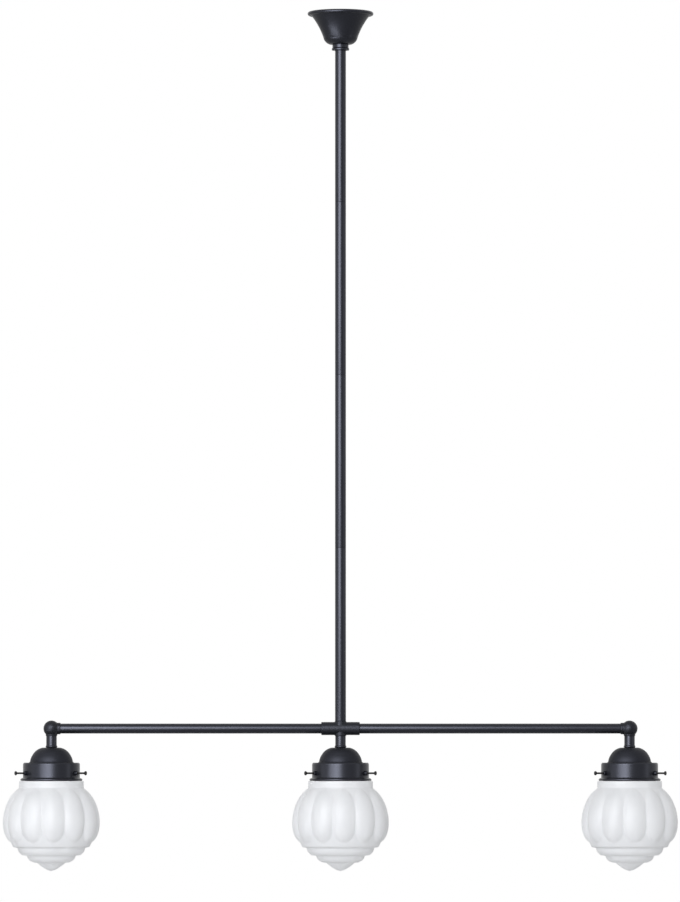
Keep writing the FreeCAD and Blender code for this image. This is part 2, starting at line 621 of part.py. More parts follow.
for side, sign in SIDES:
    if sign == 0:
        continue
    bar = tube(f"bar_{side}", "bar_width", "bar_bore", f"{BAR_END} - {BAR_START}")
    place(bar, across=f"{sign} * {BAR_START}", level=BAR_LEVEL, axis=(0, 1, 0), turn=-90 * sign)

    elbow = new_body(f"ball_elbow_{side}")
    turn_outline(elbow, [
        ("-ball_collar_reach", "0"),
        ("-ball_collar_reach", "ball_collar_width / 2 - tube_chamfer"),
        ("-ball_collar_reach + tube_chamfer", "ball_collar_width / 2"),
        (f"-{BALL_BITE}", "ball_collar_width / 2"),
        ("ball_width / 2", "0"),
    ], {3: ("ball_width / 2", -1)}, axis="H_Axis")
    doc.recompute()
    solid_volume = elbow.Shape.Volume
    turn_outline(elbow, [
        ("0", BOSS_BOTTOM),
        ("boss_width / 2", BOSS_BOTTOM),
        ("boss_width / 2", "0"),
        ("0", "0"),
    ])
    solid_volume = must_change(elbow, solid_volume, grows=True)
    turn_outline(elbow, [
        (f"-ball_collar_reach - {OVERCUT}", "0"),
        (f"-ball_collar_reach - {OVERCUT}", BAR_SEAT),
        ("-ball_chamber", BAR_SEAT),
        ("-ball_chamber", CHAMBER),
        ("ball_chamber", CHAMBER),
        ("ball_chamber", "0"),
    ], cut=True, axis="H_Axis")
    solid_volume = must_change(elbow, solid_volume, grows=False)
    turn_outline(elbow, [
        ("0", f"-ball_width / 2 - {OVERCUT}"),
        (NIPPLE_SEAT, f"-ball_width / 2 - {OVERCUT}"),
        (NIPPLE_SEAT, "0"),
        ("0", "0"),
    ], cut=True)
    must_change(elbow, solid_volume, grows=False)
    place(elbow, across=f"{sign} * lamp_pitch", level=BAR_LEVEL, turn=90 - 90 * sign)


# ---- Nipples and lock nuts that clamp neck, dome and gallery together at each lamp ----

NIPPLE_TOP = f"({BOSS_FOOT} + nipple_grip)"
NIPPLE_FOOT = f"({HOLDER_LEVEL} - nipple_grip)"
nipple_places = [(f"{sign} * lamp_pitch", NIPPLE_FOOT) for side, sign in SIDES]
ring_group("lamp_nipples", "nipple_width", "nipple_bore", f"{NIPPLE_TOP} - {NIPPLE_FOOT}", nipple_places)

nut_places = [(f"{sign} * lamp_pitch", HOLDER_LEVEL) for side, sign in SIDES]
ring_group("lock_nuts", "nut_width", f"(2 * {NIPPLE_SEAT})", "nut_height", nut_places, faces=HEXAGON)


# ---- Lamps ----

def make_neck(side):
    """Spacer tube with a small foot ring where it sits on the dome."""
    neck = new_body(f"neck_{side}")
    foot = "-neck_length + neck_foot_height"
    turn_outline(neck, [
        (NIPPLE_SEAT, "0"),
        ("neck_width / 2", "0"),
        ("neck_width / 2", foot),
        ("neck_foot_width / 2", f"{foot} - neck_foot_height / 3"),
        ("neck_foot_width / 2", "-neck_length + neck_foot_height / 4"),
        ("neck_width / 2", "-neck_length"),
        (NIPPLE_SEAT, "-neck_length"),
    ])
    return neck


def dome_curve(inset):
    """Corners of the dome's side and crown arcs, or of the parallel curve this far inside them."""
    side_centre = f"(dome_width / 2 - {DOME_SIDE})"
    spread = f"({DOME_CROWN} - {DOME_SIDE})"
    top = f"{DOME_HEIGHT} - {inset}"
    seat = f"sqrt(({DOME_CROWN} - {inset})^2 - ({top} + {DOME_CENTRE})^2)"
    return [
        (f"dome_width / 2 - {inset}", "0"),
        (f"{side_centre} + ({DOME_SIDE} - {inset}) * {side_centre} / {spread}",
         f"({DOME_SIDE} - {inset}) * {DOME_CENTRE} / {spread}"),
        (seat, top),
        ("0", top),
    ]


def dome_arcs(inset):
    return {0: (f"{DOME_SIDE} - {inset}", 1), 1: (f"{DOME_CROWN} - {inset}", 1)}


def make_dome(side):
    """Spun cap that covers the joint between neck and gallery."""
    dome = new_body(f"dome_cap_{side}")
    turn_outline(dome, [*dome_curve("0"), ("0", "0")], dome_arcs("0"))
    turn_outline(dome, [
        ("0", "0"),
        ("dome_width / 2 + dome_rim_proud", "0"),
        ("dome_width / 2 + dome_rim_proud", "dome_rim_height / 2"),
        ("dome_width / 2 - dome_wall / 2", "dome_rim_height"),
        ("0", "dome_rim_height"),
    ])
    doc.recompute()
    volume = dome.Shape.Volume
    hollow = [
        *dome_curve("dome_wall"),
        ("0", f"-{OVERCUT}"),
        ("dome_width / 2 - dome_wall", f"-{OVERCUT}"),
    ]
    turn_outline(dome, hollow, dome_arcs("dome_wall"), cut=True)
    volume = must_change(dome, volume, grows=False)
    turn_outline(dome, [
        ("0", f"{DOME_HEIGHT} - dome_wall - {OVERCUT}"),
        (NIPPLE_SEAT, f"{DOME_HEIGHT} - dome_wall - {OVERCUT}"),
        (NIPPLE_SEAT, f"{DOME_HEIGHT} + {OVERCUT}"),
        ("0", f"{DOME_HEIGHT} + {OVERCUT}"),
    ], cut=True)
    must_change(dome, volume, grows=False)
    return dome


def make_gallery(side):
    """Fitter cup with a flange at its mouth and bosses for the thumb screws."""
    gallery = new_body(f"gallery_{side}")
    turn_outline(gallery, [
        ("0", "0"),
        (f"{GALLERY_OUTER} - gallery_corner", "0"),
        (GALLERY_OUTER, "-gallery_corner"),
        (GALLERY_OUTER, "-gallery_height + flange_height + flange_slope"),
        (f"{FLANGE_OUTER} - flange_chamfer", "-gallery_height + flange_height"),
        (FLANGE_OUTER, "-gallery_height + flange_height - flange_chamfer"),
        (FLANGE_OUTER, "-gallery_height + flange_chamfer"),
        (f"{FLANGE_OUTER} - flange_chamfer", "-gallery_height"),
        ("0", "-gallery_height"),
    ], {1: ("gallery_corner", -1)})
    doc.recompute()
    volume = gallery.Shape.Volume
    boss = new_sketch(gallery, "XZ_Plane")
    draw_circle(boss, "0", "-screw_drop", "screw_boss_width / 2")
    boss_pad = extruded(gallery, boss, SCREW_BOSS_FACE, backward=True)
    volume = must_change(gallery, volume, grows=True)
    repeated(gallery, boss_pad, boss, "screw_count")
    volume = must_change(gallery, volume, grows=True)
    turn_outline(gallery, [
        ("0", f"-gallery_height - {OVERCUT}"),
        (GALLERY_INNER, f"-gallery_height - {OVERCUT}"),
        (GALLERY_INNER, "-gallery_wall"),
        (NIPPLE_SEAT, "-gallery_wall"),
        (NIPPLE_SEAT, f"{OVERCUT}"),
        ("0", f"{OVERCUT}"),
    ], cut=True)
    volume = must_change(gallery, volume, grows=False)
    hole = new_sketch(gallery, "XZ_Plane")
    draw_circle(hole, "0", "-screw_drop", "screw_width / 2 + thread_play")
    hole_cut = extruded(gallery, hole, f"{SCREW_BOSS_FACE} + {OVERCUT}", cut=True)
    volume = must_change(gallery, volume, grows=False)
    repeated(gallery, hole_cut, hole, "screw_count")
    must_change(gallery, volume, grows=False)
    return gallery


def make_thumb_screw(side, number):
    """Screw along its own +X, from its tip near the shade's neck to its flared head."""
    screw = new_body(f"thumb_screw_{side}_{number}")
    shaft_end = "screw_length - screw_head_length - screw_taper_length"
    turn_outline(screw, [
        ("0", "0"),
        ("0", "screw_width / 2 - tube_chamfer"),
        ("tube_chamfer", "screw_width / 2"),
        (shaft_end, "screw_width / 2"),
        ("screw_length - screw_head_length", "screw_head_width / 2 - tube_chamfer"),
        ("screw_length - screw_head_length + tube_chamfer", "screw_head_width / 2"),
        ("screw_length - tube_chamfer", "screw_head_width / 2"),
        ("screw_length", "screw_head_width / 2 - tube_chamfer"),
        ("screw_length", "0"),
    ], axis="H_Axis")
    return screw


def make_holder(side):
    """Ceramic screw lampholder with a wire channel from the nipple to its contacts."""
    holder = new_body(f"lampholder_{side}")
    well = "(shell_width / 2 + thread_play)"
    turn_outline(holder, [
        (NIPPLE_SEAT, "0"),
        ("holder_neck_width / 2", "0"),
        ("holder_width / 2", "-holder_shoulder"),
        ("holder_width / 2", "-holder_height + holder_lip"),
        ("holder_width / 2 - holder_lip", "-holder_height"),
        (well, "-holder_height"),
        (well, "-holder_roof"),
        ("holder_channel / 2", "-holder_roof"),
        ("holder_channel / 2", f"-nipple_grip - {OVERCUT}"),
        (NIPPLE_SEAT, f"-nipple_grip - {OVERCUT}"),
    ])
    return holder


def make_contacts(side, across):
    """Brass screw shell and the centre contact strip, as one group."""
    shell_length = "(holder_height - holder_roof - 2 * shell_inset)"
    outer = doc.addObject("Part::Cylinder", f"shell_outer_{side}")
    set_sizes(outer, Radius="shell_width / 2", Height=shell_length)
    inner = doc.addObject("Part::Cylinder", f"shell_inner_{side}")
    set_sizes(inner, Radius="shell_width / 2 - shell_wall", Height=shell_length)
    shell = doc.addObject("Part::Cut", f"screw_shell_{side}")
    shell.Base = outer
    shell.Tool = inner
    place(shell, across=across, level=f"{HOLDER_LEVEL} - holder_height + shell_inset")
    strip = doc.addObject("Part::Box", f"centre_contact_{side}")
    set_sizes(strip, Length="contact_length", Width="contact_width", Height="contact_height")
    place(strip, across=f"{across} - contact_length / 2", forward="-contact_width / 2",
          level=f"{HOLDER_LEVEL} - holder_roof - contact_height")
    group = doc.addObject("Part::Compound", f"lamp_contacts_{side}")
    group.Label = f"lamp_contacts_{side}"
    group.Links = [shell, strip]
    sub_parts.append(group)


CAP_TOP = "(holder_roof + contact_height + loose_play)"
CAP_FOOT = f"({CAP_TOP} + cap_length)"
BULB_FOOT = f"({CAP_TOP} + bulb_length)"
GLOBE_CENTRE = f"({BULB_FOOT} - bulb_width / 2)"
SHOULDER_REACH = "((cap_width + bulb_width) / 4)"


def make_bulb_cap(side):
    """Screw cap of the bulb: a thin shell with a tapered crown and a flat centre contact."""
    cap = new_body(f"bulb_cap_{side}")
    turn_outline(cap, [
        ("0", f"-{CAP_TOP}"),
        ("cap_contact_width / 2", f"-{CAP_TOP}"),
        ("cap_width / 2", f"-{CAP_TOP} - cap_crown"),
        ("cap_width / 2", f"-{CAP_FOOT}"),
        ("cap_width / 2 - bulb_wall", f"-{CAP_FOOT}"),
        ("cap_width / 2 - bulb_wall", f"-{CAP_TOP} - cap_crown - bulb_wall"),
        ("cap_contact_width / 2", f"-{CAP_TOP} - 2 * bulb_wall"),
        ("0", f"-{CAP_TOP} - 2 * bulb_wall"),
    ])
    return cap


def make_bulb(side):
    """Glass of the bulb: a short taper below the cap that runs into a round globe."""
    bulb = new_body(f"bulb_{side}")
    shoulder = f"-{GLOBE_CENTRE} + sqrt(bulb_width^2 / 4 - {SHOULDER_REACH}^2)"
    turn_outline(bulb, [
        ("cap_width / 2 - bulb_wall", f"-{CAP_FOOT}"),
        ("cap_width / 2", f"-{CAP_FOOT}"),
        (SHOULDER_REACH, shoulder),
        ("bulb_width / 2", f"-{GLOBE_CENTRE}"),
        ("0", f"-{BULB_FOOT}"),
        ("0", f"-{BULB_FOOT} + bulb_wall"),
        ("bulb_width / 2 - bulb_wall", f"-{GLOBE_CENTRE}"),
        (f"{SHOULDER_REACH} - bulb_wall", shoulder),
    ], {
        2: ("bulb_width / 2", -1),
        3: ("bulb_width / 2", -1),
        5: ("bulb_width / 2 - bulb_wall", 1),
        6: ("bulb_width / 2 - bulb_wall", 1),
    })
    return bulb


SHADE_NECK = "(fitter_width / 2 - fitter_lip)"
BELLY_DROP = "(shoulder_height + belly_height)"
FOOT_DROP = f"({BELLY_DROP} + foot_height)"
STEP_ONE_DROP = f"({FOOT_DROP} + step_one_height)"
STEP_TWO_DROP = f"({STEP_ONE_DROP} + step_two_height)"
STEP_THREE_DROP = f"({STEP_TWO_DROP} + step_three_height)"

# The shade's outline in its grooves, from the fitter rim down to the pointed foot, and the edges of it
# that are arcs.
SHADE_OUTLINE = [
    ("0", "fitter_height"),
    ("fitter_width / 2", "fitter_height"),
    ("fitter_width / 2", "fitter_height - fitter_bead"),
    (SHADE_NECK, "fitter_height - 2 * fitter_bead"),
    (SHADE_NECK, "-loose_play"),
    ("shoulder_width / 2 - shoulder_edge", "-loose_play"),
    ("shoulder_width / 2", "-loose_play - shoulder_edge"),
    ("shoulder_width / 2", "-shoulder_height"),
    ("belly_width / 2", f"-{BELLY_DROP}"),
    ("foot_width / 2", f"-{FOOT_DROP}"),
    ("step_one_width / 2", f"-{FOOT_DROP}"),
    ("step_one_foot / 2", f"-{STEP_ONE_DROP}"),
    ("step_two_width / 2", f"-{STEP_ONE_DROP}"),
    ("step_two_foot / 2", f"-{STEP_TWO_DROP}"),
    ("step_three_width / 2", f"-{STEP_TWO_DROP}"),
    ("step_three_foot / 2", f"-{STEP_THREE_DROP}"),
    ("tip_width / 2", f"-{STEP_THREE_DROP}"),
    ("0", f"-{STEP_THREE_DROP} - tip_height"),
]
SHADE_BULGES = {
    5: "shoulder_corner",
    7: "belly_bulge",
    8: "foot_bulge",
    10: "step_bulge",
    12: "step_bulge",
    14: "step_low_bulge",
    16: "tip_bulge",
}

SHADE_HOLLOW = [
    ("0", f"fitter_height + {OVERCUT}"),
    (f"{SHADE_NECK} - glass_wall", f"fitter_height + {OVERCUT}"),
    (f"{SHADE_NECK} - glass_wall", "-shoulder_height / 2"),
    ("belly_width / 2 - cavity_play", f"-{BELLY_DROP}"),
    ("foot_width / 2 - glass_wall", f"-{FOOT_DROP}"),
    ("step_two_width / 2 - glass_wall", f"-{STEP_ONE_DROP}"),
    ("step_three_width / 2 - glass_wall", f"-{STEP_TWO_DROP}"),
    ("tip_width / 2 - glass_wall", f"-{STEP_THREE_DROP}"),
    ("0", f"-{STEP_THREE_DROP}"),
]
HOLLOW_BULGES = {2: "belly_bulge", 3: "foot_bulge"}


def bulging(outline, rises):
    """Arcs for the edges of an outline that bulge outward by a named rise."""
    return {edge: (bulge(outline, edge, rise), -1) for edge, rise in rises.items()}


def make_shade(side):
    """Pressed opal glass: fitter neck, ribs round the belly and a stepped, pointed foot."""
    shade = new_body(f"glass_shade_{side}")
    turn_outline(shade, SHADE_OUTLINE, bulging(SHADE_OUTLINE, SHADE_BULGES))
    rib = shade.newObject("PartDesign::AdditiveEllipsoid", f"rib_{side}")
    set_sizes(rib, Radius1="rib_half_length", Radius2="rib_half_width", Radius3="rib_half_width")
    horizontal = next(item for item in shade.Origin.OriginFeatures if item.Role == "XY_Plane")
    rib.AttachmentSupport = [(horizontal, "")]
    rib.MapMode = "FlatFace"
    rib.AttachmentOffset = Placement(Vector(), Rotation(Vector(0, -1, 0), value("rib_tilt")))
    set_sizes(rib, AttachmentOffset__Base__x="rib_reach", AttachmentOffset__Base__z="-rib_drop",
              AttachmentOffset__Rotation__Angle="rib_tilt")
    doc.recompute()
    volume = shade.Shape.Volume
    around = new_sketch(shade, "XZ_Plane")
    repeated(shade, rib, around, "rib_count")
    volume = must_change(shade, volume, grows=True)
    turn_outline(shade, SHADE_HOLLOW, bulging(SHADE_HOLLOW, HOLLOW_BULGES), cut=True)
    must_change(shade, volume, grows=False)
    return shade


TIP_REACH = "(fitter_width / 2 + loose_play)"

for side, sign in SIDES:
    lamp_axis = f"{sign} * lamp_pitch"
    place(make_neck(side), across=lamp_axis, level=BOSS_FOOT)
    place(make_dome(side), across=lamp_axis, level=GALLERY_LEVEL)
    place(make_gallery(side), across=lamp_axis, level=GALLERY_LEVEL)
    place(make_holder(side), across=lamp_axis, level=HOLDER_LEVEL)
    make_contacts(side, lamp_axis)
    place(make_bulb_cap(side), across=lamp_axis, level=HOLDER_LEVEL)
    place(make_bulb(side), across=lamp_axis, level=HOLDER_LEVEL)
    shade = make_shade(side)
    place(shade, across=lamp_axis, level=GALLERY_FOOT, turn=value("rib_turn"))
    for number in range(int(value("screw_count"))):
        screw = make_thumb_screw(side, number + 1)
        bearing = value("screw_bearing") + number * TURN / value("screw_count")
        place(screw, across=f"{lamp_axis} + {TIP_REACH} * cos({bearing})",
              forward=f"{TIP_REACH} * sin({bearing})", level=f"{GALLERY_LEVEL} - screw_drop", turn=bearing)


# ---- Leads from the terminal block to the lampholders ----

def rounded_path(points, bends):
    """Straight runs joined by tangent arcs; one bend radius for each inner point."""
    edges = []
    start = points[0]
    for before, corner, after, bend in zip(points, points[1:], points[2:], bends):
        inward = (before - corner).normalize()
        outward = (after - corner).normalize()
        half_turn = inward.getAngle(outward) / 2
        leave = bend / math.tan(half_turn)
        first = corner + inward * leave
        last = corner + outward * leave
        towards = (inward + outward).normalize()
        middle = corner + towards * (bend / math.sin(half_turn) - bend)
        edges.append(Part.LineSegment(start, first).toShape())
        edges.append(Part.Arc(first, middle, last).toShape())
        start = last
    edges.append(Part.LineSegment(start, points[-1]).toShape())
    return Part.Wire(edges)


def make_lead(side, sign):
    """Flexible lead from the terminal block down the stem, along the bar and into the lampholder."""
    lane_side = sign * value(LEAD_SIDE)
    lane_front = -value(LEAD_FRONT) if sign else value("lead_lane")
    turn_level = -value("lead_low_turn") if sign else -value("lead_high_turn")
    block_face = -value("block_reach + block_hole_depth - loose_play")
    end_level = value(f"{HOLDER_LEVEL} - holder_roof + loose_play")
    points = [
        Vector(lane_side, block_face, turn_level),
        Vector(lane_side, lane_front, turn_level),
    ]
    bends = [value("lead_top_bend")]
    if sign:
        lamp = sign * value("lamp_pitch")
        points.append(Vector(lane_side, lane_front, value(BAR_LEVEL)))
        points.append(Vector(lamp, lane_front, value(BAR_LEVEL)))
        points.append(Vector(lamp, lane_front, end_level))
        bends += [value("lead_bend")] * 2
    else:
        points.append(Vector(lane_side, lane_front, end_level))
    path = rounded_path(points, bends)
    start = points[0]
    section = Part.Wire(Part.makeCircle(value("lead_width / 2"), start, Vector(0, 1, 0)))
    lead = doc.addObject("Part::Feature", f"wiring_{side}")
    lead.Label = f"wiring_{side}"
    lead.Shape = path.makePipeShell([section], True, True)
    expected = path.Length * section.Length * value("lead_width") / 4
    if abs(lead.Shape.Volume / expected - 1) > 0.01:
        raise RuntimeError(f"{lead.Label}: volume {lead.Shape.Volume} is not {expected}")
    sub_parts.append(lead)


for side, sign in SIDES:
    make_lead(side, sign)


# ---- Checks and export ----

doc.recompute()
for item in doc.Objects:
    if {"Invalid", "Error"} & set(item.State):
        raise RuntimeError(f"{item.Label} failed: {item.State}")
for item in sub_parts:
    if item.Shape.isNull() or not item.Shape.isValid() or not item.Shape.Solids:
        raise RuntimeError(f"{item.Label} has no valid solid")

os.makedirs("parts", exist_ok=True)
for item in sub_parts:
    item.Shape.exportStep(f"parts/{item.Label}.step")
    print(f"{item.Label}: {len(item.Shape.Solids)} solid(s), {item.Shape.Volume / 1000:.2f} cm3")
print(f"{len(sub_parts)} sub-parts")
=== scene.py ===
import json
import math

import bmesh
import bpy
from mathutils import Matrix, Vector


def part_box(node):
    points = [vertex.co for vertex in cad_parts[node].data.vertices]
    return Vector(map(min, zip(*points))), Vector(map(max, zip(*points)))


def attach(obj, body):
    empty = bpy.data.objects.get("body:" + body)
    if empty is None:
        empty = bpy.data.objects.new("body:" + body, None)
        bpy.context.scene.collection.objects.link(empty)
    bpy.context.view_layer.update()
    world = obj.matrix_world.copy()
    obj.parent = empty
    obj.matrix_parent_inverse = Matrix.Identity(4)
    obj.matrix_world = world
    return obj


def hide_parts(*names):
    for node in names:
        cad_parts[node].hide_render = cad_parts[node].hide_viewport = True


# A linear island pendant: one stem from the ceiling, one crossbar and three glass lamps.
# Lengths are metres, +Z is up, -Y is the front, and the origin is on the ceiling at the stem's axis.

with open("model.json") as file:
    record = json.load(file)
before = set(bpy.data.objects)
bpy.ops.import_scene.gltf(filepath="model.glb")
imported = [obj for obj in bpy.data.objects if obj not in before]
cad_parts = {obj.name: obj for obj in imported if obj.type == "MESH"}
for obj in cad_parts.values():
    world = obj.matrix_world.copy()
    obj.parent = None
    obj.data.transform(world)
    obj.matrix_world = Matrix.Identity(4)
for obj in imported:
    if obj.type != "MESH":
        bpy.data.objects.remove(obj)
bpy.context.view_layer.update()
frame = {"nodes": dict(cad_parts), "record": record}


# ---- Ceiling bracket ----
# The plate and hub that the stem hangs from, pressed and turned from mild steel.
# Its bright zinc plating is a cool grey metal with a cloudy bloom. Two screws hold it to the ceiling.

MM = 0.001
BODY_OF = {node: body for body, nodes in frame["record"]["behaviour"]["bodies"].items() for node in nodes}


def colour(code):
    """Linear red, green, blue and alpha of an sRGB hex colour."""
    parts = [int(code[place:place + 2], 16) / 255 for place in (1, 3, 5)]
    return [part / 12.92 if part <= 0.04045 else ((part + 0.055) / 1.055) ** 2.4 for part in parts] + [1]


def add(tree, kind, links=None, **settings):
    """Adds a node with its settings, and joins or fills the sockets that links names."""
    node = tree.nodes.new(kind)
    for name, setting in settings.items():
        setattr(node, name, setting)
    for socket, source in (links or {}).items():
        if isinstance(source, bpy.types.NodeSocket):
            tree.links.new(source, node.inputs[socket])
        else:
            node.inputs[socket].default_value = source
    return node


def new_finish(name, settings):
    """Starts a material; returns it with its tree and the object's own coordinates."""
    material = bpy.data.materials.new(name)
    material.use_nodes = True
    tree = material.node_tree
    for socket, setting in settings.items():
        tree.nodes["Principled BSDF"].inputs[socket].default_value = setting
    return material, tree, add(tree, "ShaderNodeTexCoord").outputs["Object"]


def finished(material, sources):
    """Joins each source to the shader's input of its name, and returns the material."""
    tree = material.node_tree
    for socket, source in sources.items():
        tree.links.new(source, tree.nodes["Principled BSDF"].inputs[socket])
    return material


def zinc_plated_steel():
    """Bright zinc over pressed steel: cool grey with clouds a few millimetres wide and a fine grain."""
    material, tree, place = new_finish("zinc_plated_steel", {"Metallic": 1})
    cloud = add(tree, "ShaderNodeTexNoise", {"Vector": place, "Scale": 1 / (7 * MM), "Detail": 4})
    grain = add(tree, "ShaderNodeTexNoise", {"Vector": place, "Scale": 1 / (0.5 * MM), "Detail": 2})
    tone = add(tree, "ShaderNodeMix", {0: cloud.outputs["Fac"], 6: colour("#85898d"), 7: colour("#b9bcbe")},
               data_type="RGBA")
    gloss = add(tree, "ShaderNodeMapRange", {"Value": cloud.outputs["Fac"], "To Min": 0.26, "To Max": 0.5})
    bump = add(tree, "ShaderNodeBump", {"Height": grain.outputs["Fac"], "Distance": 0.02 * MM})
    return finished(material, {"Base Color": tone.outputs[2], "Roughness": gloss.outputs[0],
                               "Normal": bump.outputs["Normal"]})


def dress(node, material):
    """Gives a piece that keeps the mesh it was packed with its finish."""
    piece = frame["nodes"][node]
    piece.data.materials.clear()
    piece.data.materials.append(material)


zinc = zinc_plated_steel()
dress("ceiling_bracket", zinc)


# ---- Terminal block and earth screw ----
# The block joins the supply to the lamp leads: moulded polyamide, off-white and slightly waxy.
# The earth screw beside it is turned brass, a little dulled by handling.

def moulded_polyamide():
    """Injection moulded polyamide: warm white, waxy, with the fine spark texture of its mould."""
    settings = {"Roughness": 0.45, "IOR": 1.53, "Subsurface Weight": 0.15, "Subsurface Scale": 1 * MM}
    material, tree, place = new_finish("moulded_polyamide", settings)
    spark = add(tree, "ShaderNodeTexNoise", {"Vector": place, "Scale": 1 / (0.4 * MM), "Detail": 3})
    haze = add(tree, "ShaderNodeTexNoise", {"Vector": place, "Scale": 1 / (6 * MM)})
    tone = add(tree, "ShaderNodeMix", {0: haze.outputs["Fac"], 6: colour("#d8d3c6"), 7: colour("#e6e2d8")},
               data_type="RGBA")
    bump = add(tree, "ShaderNodeBump", {"Height": spark.outputs["Fac"], "Distance": 0.03 * MM})
    return finished(material, {"Base Color": tone.outputs[2], "Normal": bump.outputs["Normal"]})


def turned_brass():
    """Turned brass: yellow metal with fine tool rings and a brown haze where it is handled."""
    material, tree, place = new_finish("turned_brass", {"Metallic": 1})
    haze = add(tree, "ShaderNodeTexNoise", {"Vector": place, "Scale": 1 / (4 * MM), "Detail": 3})
    rings = add(tree, "ShaderNodeTexWave", {"Vector": place, "Scale": 1 / (2.4 * MM), "Distortion": 0.6},
                bands_direction="Z")
    tone = add(tree, "ShaderNodeMix", {0: haze.outputs["Fac"], 6: colour("#a5813f"), 7: colour("#d9b968")},
               data_type="RGBA")
    gloss = add(tree, "ShaderNodeMapRange", {"Value": haze.outputs["Fac"], "To Min": 0.22, "To Max": 0.42})
    bump = add(tree, "ShaderNodeBump", {"Height": rings.outputs["Fac"], "Distance": 0.01 * MM})
    return finished(material, {"Base Color": tone.outputs[2], "Roughness": gloss.outputs[0],
                               "Normal": bump.outputs["Normal"]})


brass = turned_brass()
dress("terminal_block", moulded_polyamide())
dress("earth_screw", brass)


# ---- Canopy ----
# The bell that covers the bracket, spun from sheet steel with its mouth rolled to a thick lip.
# It is powder coated satin black, inside and out, and slides down the stem for wiring.

CANOPY_WALL = 1.2 * MM
LIP_HALF = 2.9 * MM
MOUTH_REACH = 46.3 * MM
MOUTH_DROP = 5.2 * MM
WAIST_REACH = 27 * MM
WAIST_RISE = 11 * MM
FLOOR_REACH = 17.5 * MM
CANOPY_HOLE = 9 * MM
FLARE_DEPTH = 1.8 * MM
CORNER_BULGE = 2 * MM
COLD_SHEEN = colour("#e8ecff")
GRAIN_SHARE = 0.15
PEEL_DEPTH = 0.006 * MM


def powder_coating(name, shine, smoothest, roughest):
    """Baked polyester powder on steel: near black with a cold cast, and faintly orange-peeled.

    The peel is about 2 mm from crest to crest. The grain on it is drawn coarser than the real 0.1 mm,
    and even so it barely shows. The gloss drifts between two roughnesses.
    """
    settings = {"IOR": 1.5, "Specular IOR Level": shine, "Specular Tint": COLD_SHEEN}
    material, tree, place = new_finish(name, settings)
    peel = add(tree, "ShaderNodeTexNoise", {"Vector": place, "Scale": 1 / (2 * MM), "Detail": 1})
    grain = add(tree, "ShaderNodeTexNoise", {"Vector": place, "Scale": 1 / (0.4 * MM), "Detail": 2})
    drift = add(tree, "ShaderNodeTexNoise", {"Vector": place, "Scale": 1 / (45 * MM), "Detail": 3})
    relief = add(tree, "ShaderNodeMath", {0: grain.outputs["Fac"], 1: GRAIN_SHARE, 2: peel.outputs["Fac"]},
                 operation="MULTIPLY_ADD")
    tone = add(tree, "ShaderNodeMix", {0: drift.outputs["Fac"], 6: colour("#0d0e12"), 7: colour("#13141a")},
               data_type="RGBA")
    gloss = add(tree, "ShaderNodeMapRange", {
        "Value": drift.outputs["Fac"], "To Min": smoothest, "To Max": roughest,
    })
    bump = add(tree, "ShaderNodeBump", {"Height": relief.outputs[0], "Distance": PEEL_DEPTH})
    return finished(material, {"Base Color": tone.outputs[2], "Roughness": gloss.outputs[0],
                               "Normal": bump.outputs["Normal"]})


def arc(start, end, rise, steps):
    """Corners between two points of an outline, along an arc that stands rise to the left of the way."""
    start, end = Vector(start), Vector(end)
    way = end - start
    left = Vector((-way.y, way.x)).normalized() * math.copysign(1, rise)
    half_angle = 2 * math.atan2(abs(rise), way.length / 2)
    radius = way.length / 2 / math.sin(half_angle)
    centre = (start + end) / 2 + left * (abs(rise) - radius)
    corners = []
    for step in range(1, steps):
        angle = half_angle * (2 * step / steps - 1)
        point = centre + left * radius * math.cos(angle) + way.normalized() * radius * math.sin(angle)
        corners.append((point.x, point.y, 0))
    return corners


def rounded(corners, steps=5):
    """The points of an outline whose corners give a reach, a height and the size of their rounding."""
    points = []
    for number, (reach, height, soft) in enumerate(corners):
        corner = Vector((reach, height))
        if soft == 0:
            points.append(corner)
            continue
        towards_last = (Vector(corners[number - 1][:2]) - corner).normalized()
        towards_next = (Vector(corners[(number + 1) % len(corners)][:2]) - corner).normalized()
        for step in range(steps + 1):
            share = step / steps
            points.append(corner + towards_last * soft * (1 - share) ** 2 + towards_next * soft * share ** 2)
    return points


def spin(shape, corners, place, segments):
    """Turns an outline round the upright axis of place, and adds the closed surface to a bmesh."""
    points = rounded(corners)
    angles = [2 * math.pi * number / segments for number in range(segments)]
    rings = []
    for point in points:
        ring = [Vector((point.x * math.cos(angle), point.x * math.sin(angle), point.y)) for angle in angles]
        rings.append([shape.verts.new(place @ spot) for spot in ring])
    if points[0].x or points[-1].x:
        rings.append(rings[0])
    for ring, following in zip(rings, rings[1:]):
        for number in range(segments):
            after = (number + 1) % segments
            shape.faces.new((ring[number], ring[after], following[after], following[number]))


def smoothed(mesh, crease=38):
    """Shades a mesh smooth but for the edges that turn by more than the crease, in degrees."""
    mesh.shade_smooth()
    mesh.set_sharp_from_angle(angle=math.radians(crease))


def made(name, shape, material):
    """Makes an object of a bmesh: poles and seams merged, faces outward, in its finish."""
    bmesh.ops.remove_doubles(shape, verts=shape.verts, dist=0.0005 * MM)
    bmesh.ops.recalc_face_normals(shape, faces=shape.faces)
    mesh = bpy.data.meshes.new(name)
    shape.to_mesh(mesh)
    shape.free()
    smoothed(mesh)
    mesh.materials.append(material)
    piece = bpy.data.objects.new(name, mesh)
    bpy.context.scene.collection.objects.link(piece)
    return piece


def turned(name, corners, place, material, segments=96):
    """A turned or spun piece, from its outline."""
    shape = bmesh.new()
    spin(shape, corners, place, segments)
    return made(name, shape, material)


def stand_for(piece, node):
    """Puts a piece in the place of the node it was modelled over, on that node's body."""
    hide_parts(node)
    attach(piece, BODY_OF[node])


